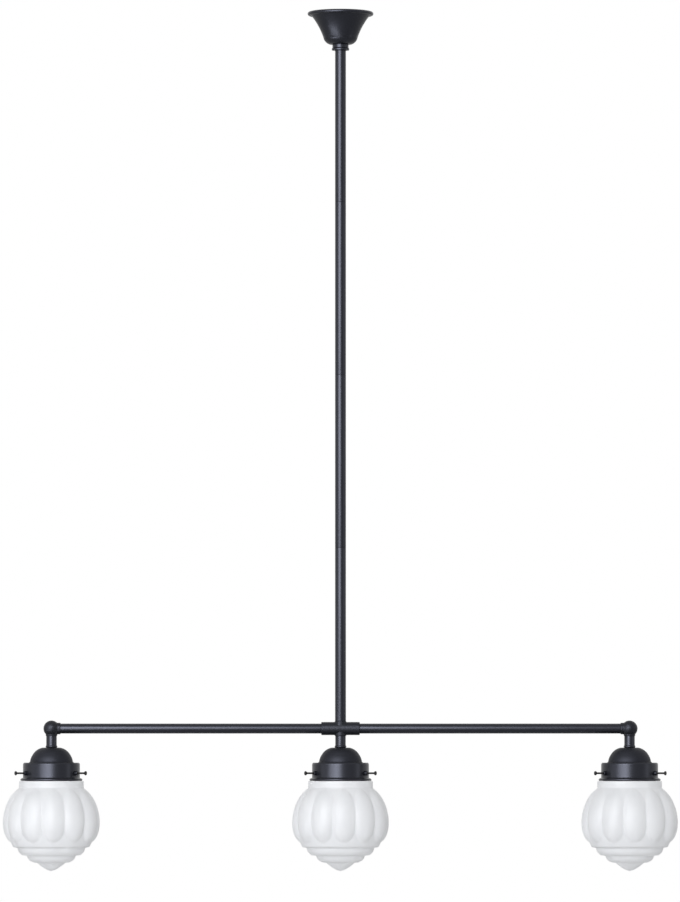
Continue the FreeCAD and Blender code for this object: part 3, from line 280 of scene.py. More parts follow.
def axis_at(node):
    """The upright axis of a node, in the plane of the stem and the bars; its heights are the ceiling's."""
    low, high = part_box(node)
    return Matrix.Translation(((low.x + high.x) / 2, 0, 0))


powder_coat = powder_coating("satin_powder_coat", 0.34, 0.28, 0.36)
canopy_low, canopy_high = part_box("canopy")
rim_reach = canopy_high.x
lip_reach = rim_reach - LIP_HALF
lip_level = canopy_high.z - LIP_HALF
mouth = (MOUTH_REACH, -MOUTH_DROP)
waist = (WAIST_REACH, canopy_low.z + WAIST_RISE)
floor_edge = (FLOOR_REACH, canopy_low.z)
inner_mouth = (MOUTH_REACH - CANOPY_WALL, -MOUTH_DROP + CANOPY_WALL)
inner_waist = (WAIST_REACH - CANOPY_WALL, canopy_low.z + WAIST_RISE + CANOPY_WALL)
inner_floor = (FLOOR_REACH - CANOPY_WALL, canopy_low.z + CANOPY_WALL)
canopy_outline = [
    (CANOPY_HOLE, canopy_low.z, 0.3 * MM),
    (*floor_edge, 0),
    *arc(floor_edge, waist, -CORNER_BULGE, 16),
    (*waist, 0),
    *arc(waist, mouth, FLARE_DEPTH, 24),
    (*mouth, 0),
    (lip_reach, lip_level - LIP_HALF, 0),
    *arc((lip_reach, lip_level - LIP_HALF), (lip_reach, lip_level + LIP_HALF), -LIP_HALF, 16),
    (lip_reach, lip_level + LIP_HALF, 0),
    (MOUTH_REACH - CANOPY_WALL, lip_level + LIP_HALF, 0.4 * MM),
    (*inner_mouth, 0),
    *arc(inner_mouth, inner_waist, -FLARE_DEPTH, 24),
    (*inner_waist, 0),
    *arc(inner_waist, inner_floor, CORNER_BULGE, 16),
    (*inner_floor, 0),
    (CANOPY_HOLE, canopy_low.z + CANOPY_WALL, 0),
]
canopy = turned("canopy_bell", canopy_outline, axis_at("canopy"), powder_coat, 144)
stand_for(canopy, "canopy")


# ---- Canopy collar and its grub screw ----
# The turned ring that grips the stem and holds the canopy up. It is coated like the canopy.
# A small steel grub screw at the back locks it.

COLLAR_RING_PROUD = 1 * MM
COLLAR_RING_HEIGHT = 2.6 * MM
COLLAR_SLACK = 0.1 * MM
STEM_HALF = 8.5 * MM

collar_low, collar_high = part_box("canopy_collar")
flare = collar_high.x
barrel = flare - COLLAR_RING_PROUD
ring_top = collar_low.z + COLLAR_RING_HEIGHT
collar = turned("canopy_collar_ring", [
    (STEM_HALF + COLLAR_SLACK, collar_high.z, 0),
    (barrel, collar_high.z, 0.4 * MM),
    (barrel, ring_top + 1.2 * MM, 0.8 * MM),
    (flare, ring_top, 0.4 * MM),
    (flare, collar_low.z, 0.6 * MM),
    (STEM_HALF + COLLAR_SLACK, collar_low.z, 0.2 * MM),
], axis_at("canopy_collar"), powder_coat)
stand_for(collar, "canopy_collar")
dress("collar_grub_screw", zinc)


# ---- Stem ----
# Four lengths of drawn steel tube, coated before they are screwed together.
# Their broken ends meet as fine dark rings. The joiners inside are plated nipples.

STEM_BORE_HALF = 6.5 * MM
TUBE_EDGE = 0.5 * MM
STEM_SECTIONS = 4

for number in range(1, STEM_SECTIONS + 1):
    node = f"stem_section_{number}"
    low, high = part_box(node)
    section = turned(f"{node}_tube", [
        (STEM_BORE_HALF, high.z, 0),
        (high.x, high.z, TUBE_EDGE),
        (high.x, low.z, TUBE_EDGE),
        (STEM_BORE_HALF, low.z, 0),
    ], axis_at(node), powder_coat, 64)
    stand_for(section, node)
dress("stem_joiners", zinc)


# ---- Cross coupler ----
# A sand-cast iron cross that joins the stem, both bars and the middle lamp. Its edges came soft out
# of the mould, and its skin is rough under the black coat. The stem sits in a low saddle on top.

BOSS_HALF = 8.9 * MM
BARREL_EDGE = 1.2 * MM
BAR_HALF = 7.75 * MM
SOCKET_SLACK = 0.15 * MM
CAST_VOXEL = 0.5 * MM
SAND_GRAIN = 1.8 * MM
SAND_DEPTH = 0.35 * MM
PIT_SHARE = 0.5


def coated_casting():
    """Iron cast in sand under a thin black coat: matte, with a mottle of about 1.5 mm and fine pits."""
    settings = {"IOR": 1.5, "Specular IOR Level": 0.22, "Specular Tint": COLD_SHEEN}
    material, tree, place = new_finish("coated_casting", settings)
    mottle = add(tree, "ShaderNodeTexNoise", {"Vector": place, "Scale": 1 / (1.6 * MM), "Detail": 3})
    pits = add(tree, "ShaderNodeTexVoronoi", {"Vector": place, "Scale": 1 / (0.9 * MM)})
    relief = add(tree, "ShaderNodeMath", {
        0: pits.outputs["Distance"], 1: PIT_SHARE, 2: mottle.outputs["Fac"],
    }, operation="MULTIPLY_ADD")
    tone = add(tree, "ShaderNodeMix", {0: mottle.outputs["Fac"], 6: colour("#0e0f11"), 7: colour("#1d1f23")},
               data_type="RGBA")
    gloss = add(tree, "ShaderNodeMapRange", {"Value": mottle.outputs["Fac"], "To Min": 0.34, "To Max": 0.5})
    bump = add(tree, "ShaderNodeBump", {"Height": relief.outputs[0], "Distance": 0.12 * MM})
    return finished(material, {"Base Color": tone.outputs[2], "Roughness": gloss.outputs[0],
                               "Normal": bump.outputs["Normal"]})


def new_tree(name, inputs):
    """Starts a geometry tree with named inputs; returns it with their sockets."""
    tree = bpy.data.node_groups.new(name, "GeometryNodeTree")
    tree.interface.new_socket("Geometry", in_out="OUTPUT", socket_type="NodeSocketGeometry")
    for label, kind in {"Geometry": "Geometry", "Finish": "Material", **inputs}.items():
        tree.interface.new_socket(label, in_out="INPUT", socket_type=f"NodeSocket{kind}")
    return tree, add(tree, "NodeGroupInput").outputs


def close_tree(tree, given, geometry):
    """Ends a geometry tree: instances made real, the finish set, and the result handed out."""
    real = add(tree, "GeometryNodeRealizeInstances", {"Geometry": geometry})
    coated = add(tree, "GeometryNodeSetMaterial", {"Geometry": real.outputs[0], "Material": given["Finish"]})
    add(tree, "NodeGroupOutput", {0: coated.outputs[0]})


def close_moved(tree, given, direction, length):
    """Ends a geometry tree that moves every point by a length in a direction."""
    offset = add(tree, "ShaderNodeVectorMath", {0: direction, "Scale": length}, operation="SCALE")
    moved = add(tree, "GeometryNodeSetPosition", {"Geometry": given["Geometry"], "Offset": offset.outputs[0]})
    close_tree(tree, given, moved.outputs[0])
    return tree


def settled(piece):
    """Turns a piece and its modifiers into one plain mesh, smooth where it is round."""
    bpy.context.view_layer.update()
    evaluated = piece.evaluated_get(bpy.context.evaluated_depsgraph_get())
    mesh = bpy.data.meshes.new_from_object(evaluated)
    piece.modifiers.clear()
    piece.data = mesh
    smoothed(mesh)
    return piece


def worked(piece, tree, sizes):
    """Runs a geometry tree over a piece with these sizes, and keeps the result as a plain mesh."""
    modifier = piece.modifiers.new(tree.name, "NODES")
    modifier.node_group = tree
    for item in tree.interface.items_tree:
        if item.in_out == "INPUT" and item.name in sizes:
            modifier[item.identifier] = sizes[item.name]
    return settled(piece)


def casting_skin():
    """The sand's grain: every point moves along its normal by a seeded noise."""
    tree, given = new_tree("casting_skin", {"Grain": "Float", "Depth": "Float", "Seed": "Float"})
    fineness = add(tree, "ShaderNodeMath", {0: 1.0, 1: given["Grain"]}, operation="DIVIDE")
    noise = add(tree, "ShaderNodeTexNoise", {"W": given["Seed"], "Scale": fineness.outputs[0], "Detail": 2},
                noise_dimensions="4D")
    centred = add(tree, "ShaderNodeMath", {0: noise.outputs["Fac"], 1: 0.5}, operation="SUBTRACT")
    lift = add(tree, "ShaderNodeMath", {0: centred.outputs[0], 1: given["Depth"]}, operation="MULTIPLY")
    normal = add(tree, "GeometryNodeInputNormal")
    return close_moved(tree, given, normal.outputs[0], lift.outputs[0])


def cast(name, lumps, cores, seed):
    """A casting: lumps run together, edges softened, skin roughened, then the sockets bored."""
    shape = bmesh.new()
    for corners, place in lumps:
        spin(shape, corners, place, 72)
    piece = made(name, shape, casting)
    remesh = piece.modifiers.new("flow", "REMESH")
    remesh.mode = "VOXEL"
    remesh.voxel_size = CAST_VOXEL
    soften = piece.modifiers.new("soften", "SMOOTH")
    soften.factor = 0.5
    soften.iterations = 4
    settled(piece)
    worked(piece, casting_skin_tree, {
        "Finish": casting, "Grain": SAND_GRAIN, "Depth": SAND_DEPTH, "Seed": seed,
    })
    for corners, place in cores:
        tool = turned(f"{name}_core", corners, place, casting, 64)
        bore = piece.modifiers.new("bore", "BOOLEAN")
        bore.operation = "DIFFERENCE"
        bore.solver = "EXACT"
        bore.object = tool
        settled(piece)
        bpy.data.objects.remove(tool)
    return piece


def rod(half, start, end, soft=0):
    """Outline of a solid round bar between two heights."""
    return [(0, start, 0), (half, start, soft), (half, end, soft), (0, end, 0)]


casting = coated_casting()
casting_skin_tree = casting_skin()
coupler_low, coupler_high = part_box("cross_coupler")
bar_low, bar_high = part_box("bar_left")
bar_level = (bar_low.z + bar_high.z) / 2
barrel_half = coupler_high.y
ALONG_X = Matrix.Rotation(math.pi / 2, 4, "Y")
coupler_axis = Matrix.Translation((0, 0, bar_level))
socket_half = BAR_HALF + SOCKET_SLACK
coupler = cast("cross_coupler_casting", [
    (rod(barrel_half, coupler_low.x, coupler_high.x, BARREL_EDGE), coupler_axis @ ALONG_X),
    (rod(BOSS_HALF, coupler_low.z - bar_level, coupler_high.z - bar_level, 0.3 * MM), coupler_axis),
], [
    (rod(socket_half, coupler_low.x - MM, coupler_high.x + MM), coupler_axis @ ALONG_X),
], 1)
stand_for(coupler, "cross_coupler")


# ---- Bars ----
# The two side tubes, drawn steel in the same satin coat, pushed and screwed into their sockets.

BAR_BORE_HALF = 6.25 * MM

for side in ("left", "right"):
    low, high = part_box(f"bar_{side}")
    bar = turned(f"bar_{side}_tube", [
        (BAR_BORE_HALF, low.x, 0),
        (BAR_HALF, low.x, TUBE_EDGE),
        (BAR_HALF, high.x, TUBE_EDGE),
        (BAR_BORE_HALF, high.x, 0),
    ], coupler_axis @ ALONG_X, powder_coat, 64)
    stand_for(bar, f"bar_{side}")


# ---- Ball elbows ----
# Cast ball fittings that turn the bars down to the outer lamps. Each is a ball with a short collar
# on the bar and a boss below, in the coupler's rough black finish.

BALL_HALF = 12.5 * MM
BALL_COLLAR_HALF = 9 * MM

for side, sign in (("left", -1), ("right", 1)):
    node = f"ball_elbow_{side}"
    low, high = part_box(node)
    ball = high.x - BALL_HALF if sign > 0 else low.x + BALL_HALF
    collar_face = (low.x if sign > 0 else high.x) - ball
    centre = Matrix.Translation((ball, 0, bar_level))
    sphere = [(0, -BALL_HALF, 0), *arc((0, -BALL_HALF), (0, BALL_HALF), -BALL_HALF, 32), (0, BALL_HALF, 0)]
    elbow = cast(f"{node}_casting", [
        (sphere, centre),
        (rod(BALL_COLLAR_HALF, 0, collar_face, 0.6 * MM), centre @ ALONG_X),
        (rod(BOSS_HALF, low.z - bar_level, 0, 0.3 * MM), centre),
    ], [
        (rod(socket_half, collar_face * 0.4, collar_face * 1.2), centre @ ALONG_X),
    ], 2 + sign)
    stand_for(elbow, node)


# ---- Necks ----
# Short spacer tubes between crossbar and lamp, turned with a small flared foot that sits on the dome.
# They are steel in the same satin coat as the stem, clamped by the nipple inside.

NECK_HALF = 8.2 * MM
NECK_FOOT_HEIGHT = 3.6 * MM
NIPPLE_SEAT = 5.05 * MM
LAMPS = ("left", "centre", "right")

for side in LAMPS:
    node = f"neck_{side}"
    low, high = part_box(node)
    foot_half = (high.x - low.x) / 2
    neck = turned(f"{node}_tube", [
        (NIPPLE_SEAT, high.z, 0),
        (NECK_HALF, high.z, 0.4 * MM),
        (NECK_HALF, low.z + NECK_FOOT_HEIGHT, 1 * MM),
        (foot_half, low.z + 0.6 * NECK_FOOT_HEIGHT, 0.5 * MM),
        (foot_half, low.z + 0.25 * NECK_FOOT_HEIGHT, 0.5 * MM),
        (NECK_HALF, low.z, 0.2 * MM),
        (NIPPLE_SEAT, low.z, 0),
    ], axis_at(node), powder_coat, 64)
    stand_for(neck, node)


# ---- Domes ----
# Caps spun from sheet steel that cover the joint between neck and gallery. The coat lies flatter on
# them, and a narrow bead runs round the base.

DOME_SEAT_HALF = 13.7 * MM
DOME_RIM_PROUD = 1.1 * MM
DOME_RIM_HEIGHT = 1.4 * MM
DOME_SHOULDER_IN = 4.2 * MM
DOME_SHOULDER_RISE = 12.5 * MM
DOME_CROWN_BULGE = 2.1 * MM
DOME_SIDE_BULGE = 0.75 * MM
DOME_INNER_SIDE_BULGE = 0.8 * MM
DOME_INNER_CROWN_BULGE = 2 * MM
DOME_WALL = 1.2 * MM

flat_coat = powder_coating("flat_powder_coat", 0.24, 0.5, 0.58)
for side in LAMPS:
    node = f"dome_cap_{side}"
    low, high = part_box(node)
    rim = (high.x - low.x) / 2
    wall = rim - DOME_RIM_PROUD
    shoulder = (wall - DOME_SHOULDER_IN, low.z + DOME_SHOULDER_RISE)
    seat = (DOME_SEAT_HALF, high.z)
    inner_shoulder = (shoulder[0] - 0.9 * DOME_WALL, shoulder[1] - 0.5 * DOME_WALL)
    inner_seat = (DOME_SEAT_HALF, high.z - DOME_WALL)
    dome = turned(f"{node}_shell", [
        (NIPPLE_SEAT, high.z, 0),
        (*seat, 0.8 * MM),
        *arc(seat, shoulder, DOME_CROWN_BULGE, 16),
        (*shoulder, 0),
        *arc(shoulder, (wall, low.z + DOME_RIM_HEIGHT), DOME_SIDE_BULGE, 12),
        (wall, low.z + DOME_RIM_HEIGHT, 0),
        (rim, low.z + 0.8 * DOME_RIM_HEIGHT, 0.4 * MM),
        (rim, low.z, 0.4 * MM),
        (wall - DOME_WALL, low.z, 0),
        *arc((wall - DOME_WALL, low.z), inner_shoulder, -DOME_INNER_SIDE_BULGE, 12),
        (*inner_shoulder, 0),
        *arc(inner_shoulder, inner_seat, -DOME_INNER_CROWN_BULGE, 16),
        (*inner_seat, 0),
        (NIPPLE_SEAT, high.z - DOME_WALL, 0),
    ], axis_at(node), flat_coat, 128)
    stand_for(dome, node)


# ---- Galleries ----
# The fitter cups that hold the shades: pressed steel with a rounded top edge, a rolled flange at the
# mouth and three drilled bosses for the thumb screws. Satin black like the rest.

GALLERY_WALL = 1.4 * MM
GALLERY_CORNER = 1.6 * MM
FLANGE_PROUD = 3.9 * MM
FLANGE_HEIGHT = 3.4 * MM
FLANGE_SLOPE = 1.4 * MM
SCREW_DROP = 16.4 * MM
SCREW_HALF = 1.5 * MM
SCREW_BOSS_HALF = 3.5 * MM
SCREW_BOSS_PROUD = 4.1 * MM
SCREW_BOSS_SUNK = 1.1 * MM
SCREW_SLACK = 0.05 * MM
SCREW_BEARINGS = (90, 210, 330)

for side in LAMPS:
    node = f"gallery_{side}"
    low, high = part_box(node)
    flange = (high.x - low.x) / 2
    wall = flange - FLANGE_PROUD
    bore = wall - GALLERY_WALL
    axis = axis_at(node)
    gallery = turned(f"{node}_cup", [
        (NIPPLE_SEAT, high.z, 0),
        (wall - GALLERY_CORNER, high.z, 0.3 * MM),
        (wall, high.z - GALLERY_CORNER, GALLERY_CORNER),
        (wall, low.z + FLANGE_HEIGHT + FLANGE_SLOPE, 0.6 * MM),
        (flange - 0.8 * MM, low.z + FLANGE_HEIGHT, 0.4 * MM),
        (flange, low.z + FLANGE_HEIGHT - 0.8 * MM, 0.5 * MM),
        (flange, low.z + 0.8 * MM, 0.6 * MM),
        (flange - 0.8 * MM, low.z, 0.5 * MM),
        (bore, low.z, 0.4 * MM),
        (bore, high.z - GALLERY_WALL, 0.5 * MM),
        (NIPPLE_SEAT, high.z - GALLERY_WALL, 0),
    ], axis, powder_coat, 144)
    for bearing in SCREW_BEARINGS:
        outward = axis @ Matrix.Translation((0, 0, high.z - SCREW_DROP))
        outward = outward @ Matrix.Rotation(math.radians(bearing), 4, "Z") @ ALONG_X
        lump = rod(SCREW_BOSS_HALF, wall - SCREW_BOSS_SUNK, wall + SCREW_BOSS_PROUD, 0.6 * MM)
        hole = rod(SCREW_HALF + SCREW_SLACK, bore - MM, wall + SCREW_BOSS_PROUD + MM)
        for corners, operation in ((lump, "UNION"), (hole, "DIFFERENCE")):
            tool = turned("boss_tool", corners, outward, powder_coat, 40)
            change = gallery.modifiers.new("boss", "BOOLEAN")
            change.operation = operation
            change.solver = "EXACT"
            change.object = tool
            settled(gallery)
            bpy.data.objects.remove(tool)
    stand_for(gallery, node)


# ---- Thumb screws ----
# Nine small steel screws, blackened, that reach in under the rim of each shade. Each has a rolled
# thread and a flared head with a fine straight knurl.

SCREW_LENGTH = 22 * MM
HEAD_HALF = 3.3 * MM
HEAD_LENGTH = 1.6 * MM
TAPER_LENGTH = 2 * MM
TIP_REACH = 41.55 * MM
THREAD_PITCH = 0.6 * MM
THREAD_HALF = 0.17 * MM
KNURL_COUNT = 28
KNURL_HALF = 0.16 * MM


def blackened_steel():
    """Steel blackened in oil: a thin dark oxide with a soft metal shine, browner where it is rubbed."""
    material, tree, place = new_finish("blackened_steel", {"Metallic": 1})
    rub = add(tree, "ShaderNodeTexNoise", {"Vector": place, "Scale": 1 / (3 * MM), "Detail": 3})
    tone = add(tree, "ShaderNodeMix", {0: rub.outputs["Fac"], 6: colour("#1b1b1e"), 7: colour("#3a3937")},
               data_type="RGBA")
    gloss = add(tree, "ShaderNodeMapRange", {"Value": rub.outputs["Fac"], "To Min": 0.3, "To Max": 0.5})
    return finished(material, {"Base Color": tone.outputs[2], "Roughness": gloss.outputs[0]})


def knurled_screw():
    """Adds to a turned blank, which stands on its tip, a helical thread and a ring of knurl ridges."""
    tree, given = new_tree("knurled_screw", {
        "Core half": "Float", "Thread length": "Float", "Thread pitch": "Float", "Thread half": "Float",
        "Head half": "Float", "Head level": "Float", "Head length": "Float",
        "Knurl count": "Int", "Knurl half": "Float",
    })
    turns = add(tree, "ShaderNodeMath", {0: given["Thread length"], 1: given["Thread pitch"]},
                operation="DIVIDE")
    helix = add(tree, "GeometryNodeCurveSpiral", {
        "Resolution": 20, "Rotations": turns.outputs[0], "Start Radius": given["Core half"],
        "End Radius": given["Core half"], "Height": given["Thread length"],
    })
    section = add(tree, "GeometryNodeCurvePrimitiveCircle", {"Resolution": 4, "Radius": given["Thread half"]})
    ridge = add(tree, "GeometryNodeCurveToMesh", {
        "Curve": helix.outputs[0], "Profile Curve": section.outputs[0], "Fill Caps": True,
    })
    first_turn = add(tree, "ShaderNodeCombineXYZ", {"Z": given["Thread pitch"]})
    thread = add(tree, "GeometryNodeTransform", {
        "Geometry": ridge.outputs[0], "Translation": first_turn.outputs[0],
    })
    edge = add(tree, "GeometryNodeMeshCircle", {
        "Vertices": given["Knurl count"], "Radius": given["Head half"],
    })
    level = add(tree, "ShaderNodeCombineXYZ", {"Z": given["Head level"]})
    raised = add(tree, "GeometryNodeTransform", {
        "Geometry": edge.outputs[0], "Translation": level.outputs[0],
    })
    tooth = add(tree, "GeometryNodeMeshCylinder", {
        "Vertices": 6, "Radius": given["Knurl half"], "Depth": given["Head length"],
    })
    knurl = add(tree, "GeometryNodeInstanceOnPoints", {
        "Points": raised.outputs[0], "Instance": tooth.outputs[0],
    })
    whole = add(tree, "GeometryNodeJoinGeometry")
    for part in (given["Geometry"], thread.outputs[0], knurl.outputs[0]):
        tree.links.new(part, whole.inputs[0])
    close_tree(tree, given, whole.outputs[0])
    return tree


blackened = blackened_steel()
screw_tree = knurled_screw()
core_half = SCREW_HALF - THREAD_HALF
shaft_end = SCREW_LENGTH - HEAD_LENGTH - TAPER_LENGTH
head_half = HEAD_HALF - KNURL_HALF
for side in LAMPS:
    low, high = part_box(f"gallery_{side}")
    centre = axis_at(f"gallery_{side}") @ Matrix.Translation((0, 0, high.z - SCREW_DROP))
    for number, bearing in enumerate(SCREW_BEARINGS, 1):
        node = f"thumb_screw_{side}_{number}"
        screw = turned(f"{node}_turning", [
            (0, 0, 0),
            (core_half, 0, 0.3 * MM),
            (core_half, shaft_end, 0),
            (head_half, SCREW_LENGTH - HEAD_LENGTH, 0.2 * MM),
            (head_half, SCREW_LENGTH, 0.4 * MM),
            (0, SCREW_LENGTH, 0),
        ], Matrix(), blackened, 40)
        worked(screw, screw_tree, {
            "Finish": blackened, "Core half": core_half, "Thread length": shaft_end - 2 * THREAD_PITCH,
            "Thread pitch": THREAD_PITCH, "Thread half": THREAD_HALF, "Head half": head_half,
            "Head level": SCREW_LENGTH - HEAD_LENGTH / 2, "Head length": 0.7 * HEAD_LENGTH,
            "Knurl count": KNURL_COUNT, "Knurl half": KNURL_HALF,
        })
        aim = Matrix.Rotation(math.radians(bearing), 4, "Z") @ ALONG_X @ Matrix.Translation((0, 0, TIP_REACH))
        screw.data.transform(centre @ aim)
        stand_for(screw, node)


# ---- Nipples and lock nuts ----
# The hollow threaded rod through each lamp and the hexagon nut that clamps the stack on it.
# Both are zinc plated steel, out of sight once the shade is on.

dress("lamp_nipples", zinc)
dress("lock_nuts", zinc)


# ---- Lampholders and their contacts ----
# Screw lampholders of glazed electrical porcelain, pressed and fired in one piece with soft edges.
# The screw shell and the centre contact are brass and sit in the well.

HOLDER_NECK_HALF = 11 * MM
HOLDER_SHOULDER = 8.5 * MM
HOLDER_ROOF = 22 * MM
HOLDER_WELL_HALF = 14.35 * MM
HOLDER_CHANNEL_HALF = 4 * MM
HOLDER_CHANNEL_RISE = 6 * MM
HOLDER_SEAT_RISE = 10 * MM
HOLDER_SEAT = 5.35 * MM
RARE_FROM = 0.72
RARE_FULL = 0.78


def glazed_porcelain():
    """Electrical porcelain under a clear glaze: warm white, glossy, with slow waves and a few specks."""
    settings = {"Roughness": 0.12, "IOR": 1.52, "Subsurface Weight": 0.1, "Subsurface Scale": 0.8 * MM}
    material, tree, place = new_finish("glazed_porcelain", settings)
    wave = add(tree, "ShaderNodeTexNoise", {"Vector": place, "Scale": 1 / (5 * MM)})
    speck = add(tree, "ShaderNodeTexNoise", {"Vector": place, "Scale": 1 / (0.9 * MM), "Detail": 2})
    rare = add(tree, "ShaderNodeMapRange", {
        "Value": speck.outputs["Fac"], "From Min": RARE_FROM, "From Max": RARE_FULL,
    })
    tone = add(tree, "ShaderNodeMix", {0: rare.outputs[0], 6: colour("#dedbd1"), 7: colour("#a89f8c")},
               data_type="RGBA")
    bump = add(tree, "ShaderNodeBump", {"Height": wave.outputs["Fac"], "Distance": 0.05 * MM})
    return finished(material, {"Base Color": tone.outputs[2], "Normal": bump.outputs["Normal"]})


porcelain = glazed_porcelain()
for side in LAMPS:
    node = f"lampholder_{side}"
    low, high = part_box(node)
    holder = turned(f"{node}_body", [
        (HOLDER_SEAT, high.z, 0),
        (HOLDER_NECK_HALF, high.z, 0.8 * MM),
        (high.y, high.z - HOLDER_SHOULDER, 3 * MM),
        (high.y, low.z, 1.8 * MM),
        (HOLDER_WELL_HALF, low.z, 0.6 * MM),
        (HOLDER_WELL_HALF, high.z - HOLDER_ROOF, 0.6 * MM),
        (HOLDER_CHANNEL_HALF, high.z - HOLDER_ROOF, 0.5 * MM),
        (HOLDER_CHANNEL_HALF, high.z - HOLDER_ROOF + HOLDER_CHANNEL_RISE, 0),
        (HOLDER_SEAT, high.z - HOLDER_ROOF + HOLDER_SEAT_RISE, 0),
    ], axis_at(node), porcelain)
    stand_for(holder, node)
    dress(f"lamp_contacts_{side}", brass)


# ---- Bulbs ----
# Small round bulbs of frosted glass on an aluminium screw cap with a rolled thread. The shade hides
# each of them until it is lowered.

CAP_CROWN = 4.4 * MM
CAP_CONTACT_HALF = 4.75 * MM
CAP_THREAD_PITCH = 3.6 * MM
CAP_THREAD_DEPTH = 0.9 * MM
CAP_THREAD_FADE = 1.5 * MM
CAP_ROW = 0.45 * MM
BULB_WALL = 1 * MM


def frosted_glass():
    """Bulb glass etched inside: it passes light and blurs it to an even milky white."""
    settings = {"Roughness": 0.5, "IOR": 1.5, "Transmission Weight": 0.85}
    material, tree, place = new_finish("frosted_glass", settings)
    frost = add(tree, "ShaderNodeTexNoise", {"Vector": place, "Scale": 1 / (2 * MM), "Detail": 3})
    tone = add(tree, "ShaderNodeMix", {0: frost.outputs["Fac"], 6: colour("#e6e6e2"), 7: colour("#f0f0ed")},
               data_type="RGBA")
    return finished(material, {"Base Color": tone.outputs[2]})


def rolled_aluminium():
    """Sheet aluminium rolled to a thread: pale soft metal with fine rings from the rolling."""
    material, tree, place = new_finish("rolled_aluminium", {"Metallic": 1, "Roughness": 0.34})
    rings = add(tree, "ShaderNodeTexWave", {"Vector": place, "Scale": 1 / (1.5 * MM), "Distortion": 1},
                bands_direction="Z")
    tone = add(tree, "ShaderNodeMix", {0: rings.outputs["Fac"], 6: colour("#a9aaab"), 7: colour("#c9c9c7")},
               data_type="RGBA")
    return finished(material, {"Base Color": tone.outputs[2]})


def rolled_thread():
    """Presses a round thread into a turned cap that stands on the lamp's axis, between two levels."""
    tree, given = new_tree("rolled_thread", {
        "Pitch": "Float", "Depth": "Float", "Top": "Float", "Foot": "Float", "Fade": "Float",
    })
    place = add(tree, "GeometryNodeInputPosition")
    apart = add(tree, "ShaderNodeSeparateXYZ", {0: place.outputs[0]})
    angle = add(tree, "ShaderNodeMath", {0: apart.outputs["Y"], 1: apart.outputs["X"]}, operation="ARCTAN2")
    lead = add(tree, "ShaderNodeMath", {0: -2 * math.pi, 1: given["Pitch"]}, operation="DIVIDE")
    phase = add(tree, "ShaderNodeMath", {0: apart.outputs["Z"], 1: lead.outputs[0], 2: angle.outputs[0]},
                operation="MULTIPLY_ADD")
    wave = add(tree, "ShaderNodeMath", {0: phase.outputs[0]}, operation="COSINE")
    inward = add(tree, "ShaderNodeMath", {0: given["Depth"], 1: -1.0}, operation="MULTIPLY")
    press = add(tree, "ShaderNodeMapRange", {"Value": wave.outputs[0], "From Min": -1.0, "From Max": 1.0,
                                             "To Min": inward.outputs[0], "To Max": 0.0})
    from_top = add(tree, "ShaderNodeMath", {0: given["Top"], 1: apart.outputs["Z"]}, operation="SUBTRACT")
    from_foot = add(tree, "ShaderNodeMath", {0: apart.outputs["Z"], 1: given["Foot"]}, operation="SUBTRACT")
    room = add(tree, "ShaderNodeMath", {0: from_top.outputs[0], 1: from_foot.outputs[0]}, operation="MINIMUM")
    share = add(tree, "ShaderNodeMapRange", {"Value": room.outputs[0], "From Max": given["Fade"]})
    depth = add(tree, "ShaderNodeMath", {0: press.outputs[0], 1: share.outputs[0]}, operation="MULTIPLY")
    flat = add(tree, "ShaderNodeCombineXYZ", {"X": apart.outputs["X"], "Y": apart.outputs["Y"]})
    outward = add(tree, "ShaderNodeVectorMath", {0: flat.outputs[0]}, operation="NORMALIZE")
    return close_moved(tree, given, outward.outputs[0], depth.outputs[0])


def bowl(half, level, start, steps=24):
    """Corners down the outside of a ball, from an angle off its top to its foot on the axis."""
    angles = [start + (math.pi - start) * step / steps for step in range(steps)]
    return [(half * math.sin(angle), level + half * math.cos(angle), 0) for angle in angles] + [
        (0, level - half, 0)]


aluminium = rolled_aluminium()
bulb_frost = frosted_glass()
thread_tree = rolled_thread()
for side in LAMPS:
    node = f"bulb_cap_{side}"
    low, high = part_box(node)
    cap_half = high.y
    crown = high.z - CAP_CROWN
    rows = [low.z + CAP_ROW * number for number in range(int((crown - low.z) / CAP_ROW))]
    cap = turned(f"{node}_sleeve", [
        (0, high.z - 2 * BULB_WALL, 0),
        (CAP_CONTACT_HALF, high.z - 2 * BULB_WALL, 0),
        (cap_half - BULB_WALL, crown - BULB_WALL, 0),
        *[(cap_half - BULB_WALL, level, 0) for level in reversed(rows)],
        *[(cap_half, level, 0) for level in rows],
        (cap_half, crown, 0.6 * MM),
        (CAP_CONTACT_HALF, high.z, 0.6 * MM),
        (0, high.z, 0),
    ], Matrix(), aluminium)
    worked(cap, thread_tree, {"Finish": aluminium, "Pitch": CAP_THREAD_PITCH, "Depth": CAP_THREAD_DEPTH,
                              "Top": crown - MM, "Foot": low.z + 2 * MM, "Fade": CAP_THREAD_FADE})
    cap.data.transform(axis_at(node))
    stand_for(cap, node)

    node = f"bulb_{side}"
    low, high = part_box(node)
    globe_half = high.y
    globe_level = low.z + globe_half
    start = math.asin((cap_half + globe_half) / 2 / globe_half)
    bulb = turned(f"{node}_glass", [
        *reversed(bowl(globe_half - BULB_WALL, globe_level, start)),
        (cap_half - BULB_WALL, high.z, 0),
        (cap_half, high.z, 0.3 * MM),
        *bowl(globe_half, globe_level, start),
    ], axis_at(node), bulb_frost)
    stand_for(bulb, node)


# ---- Glass shades ----
# Pressed opal glass: a fitter neck, twelve ribs round the belly that meet in soft grooves, and a foot
# that steps in three times to a point. The ribs' crests stand a few degrees off the bars.

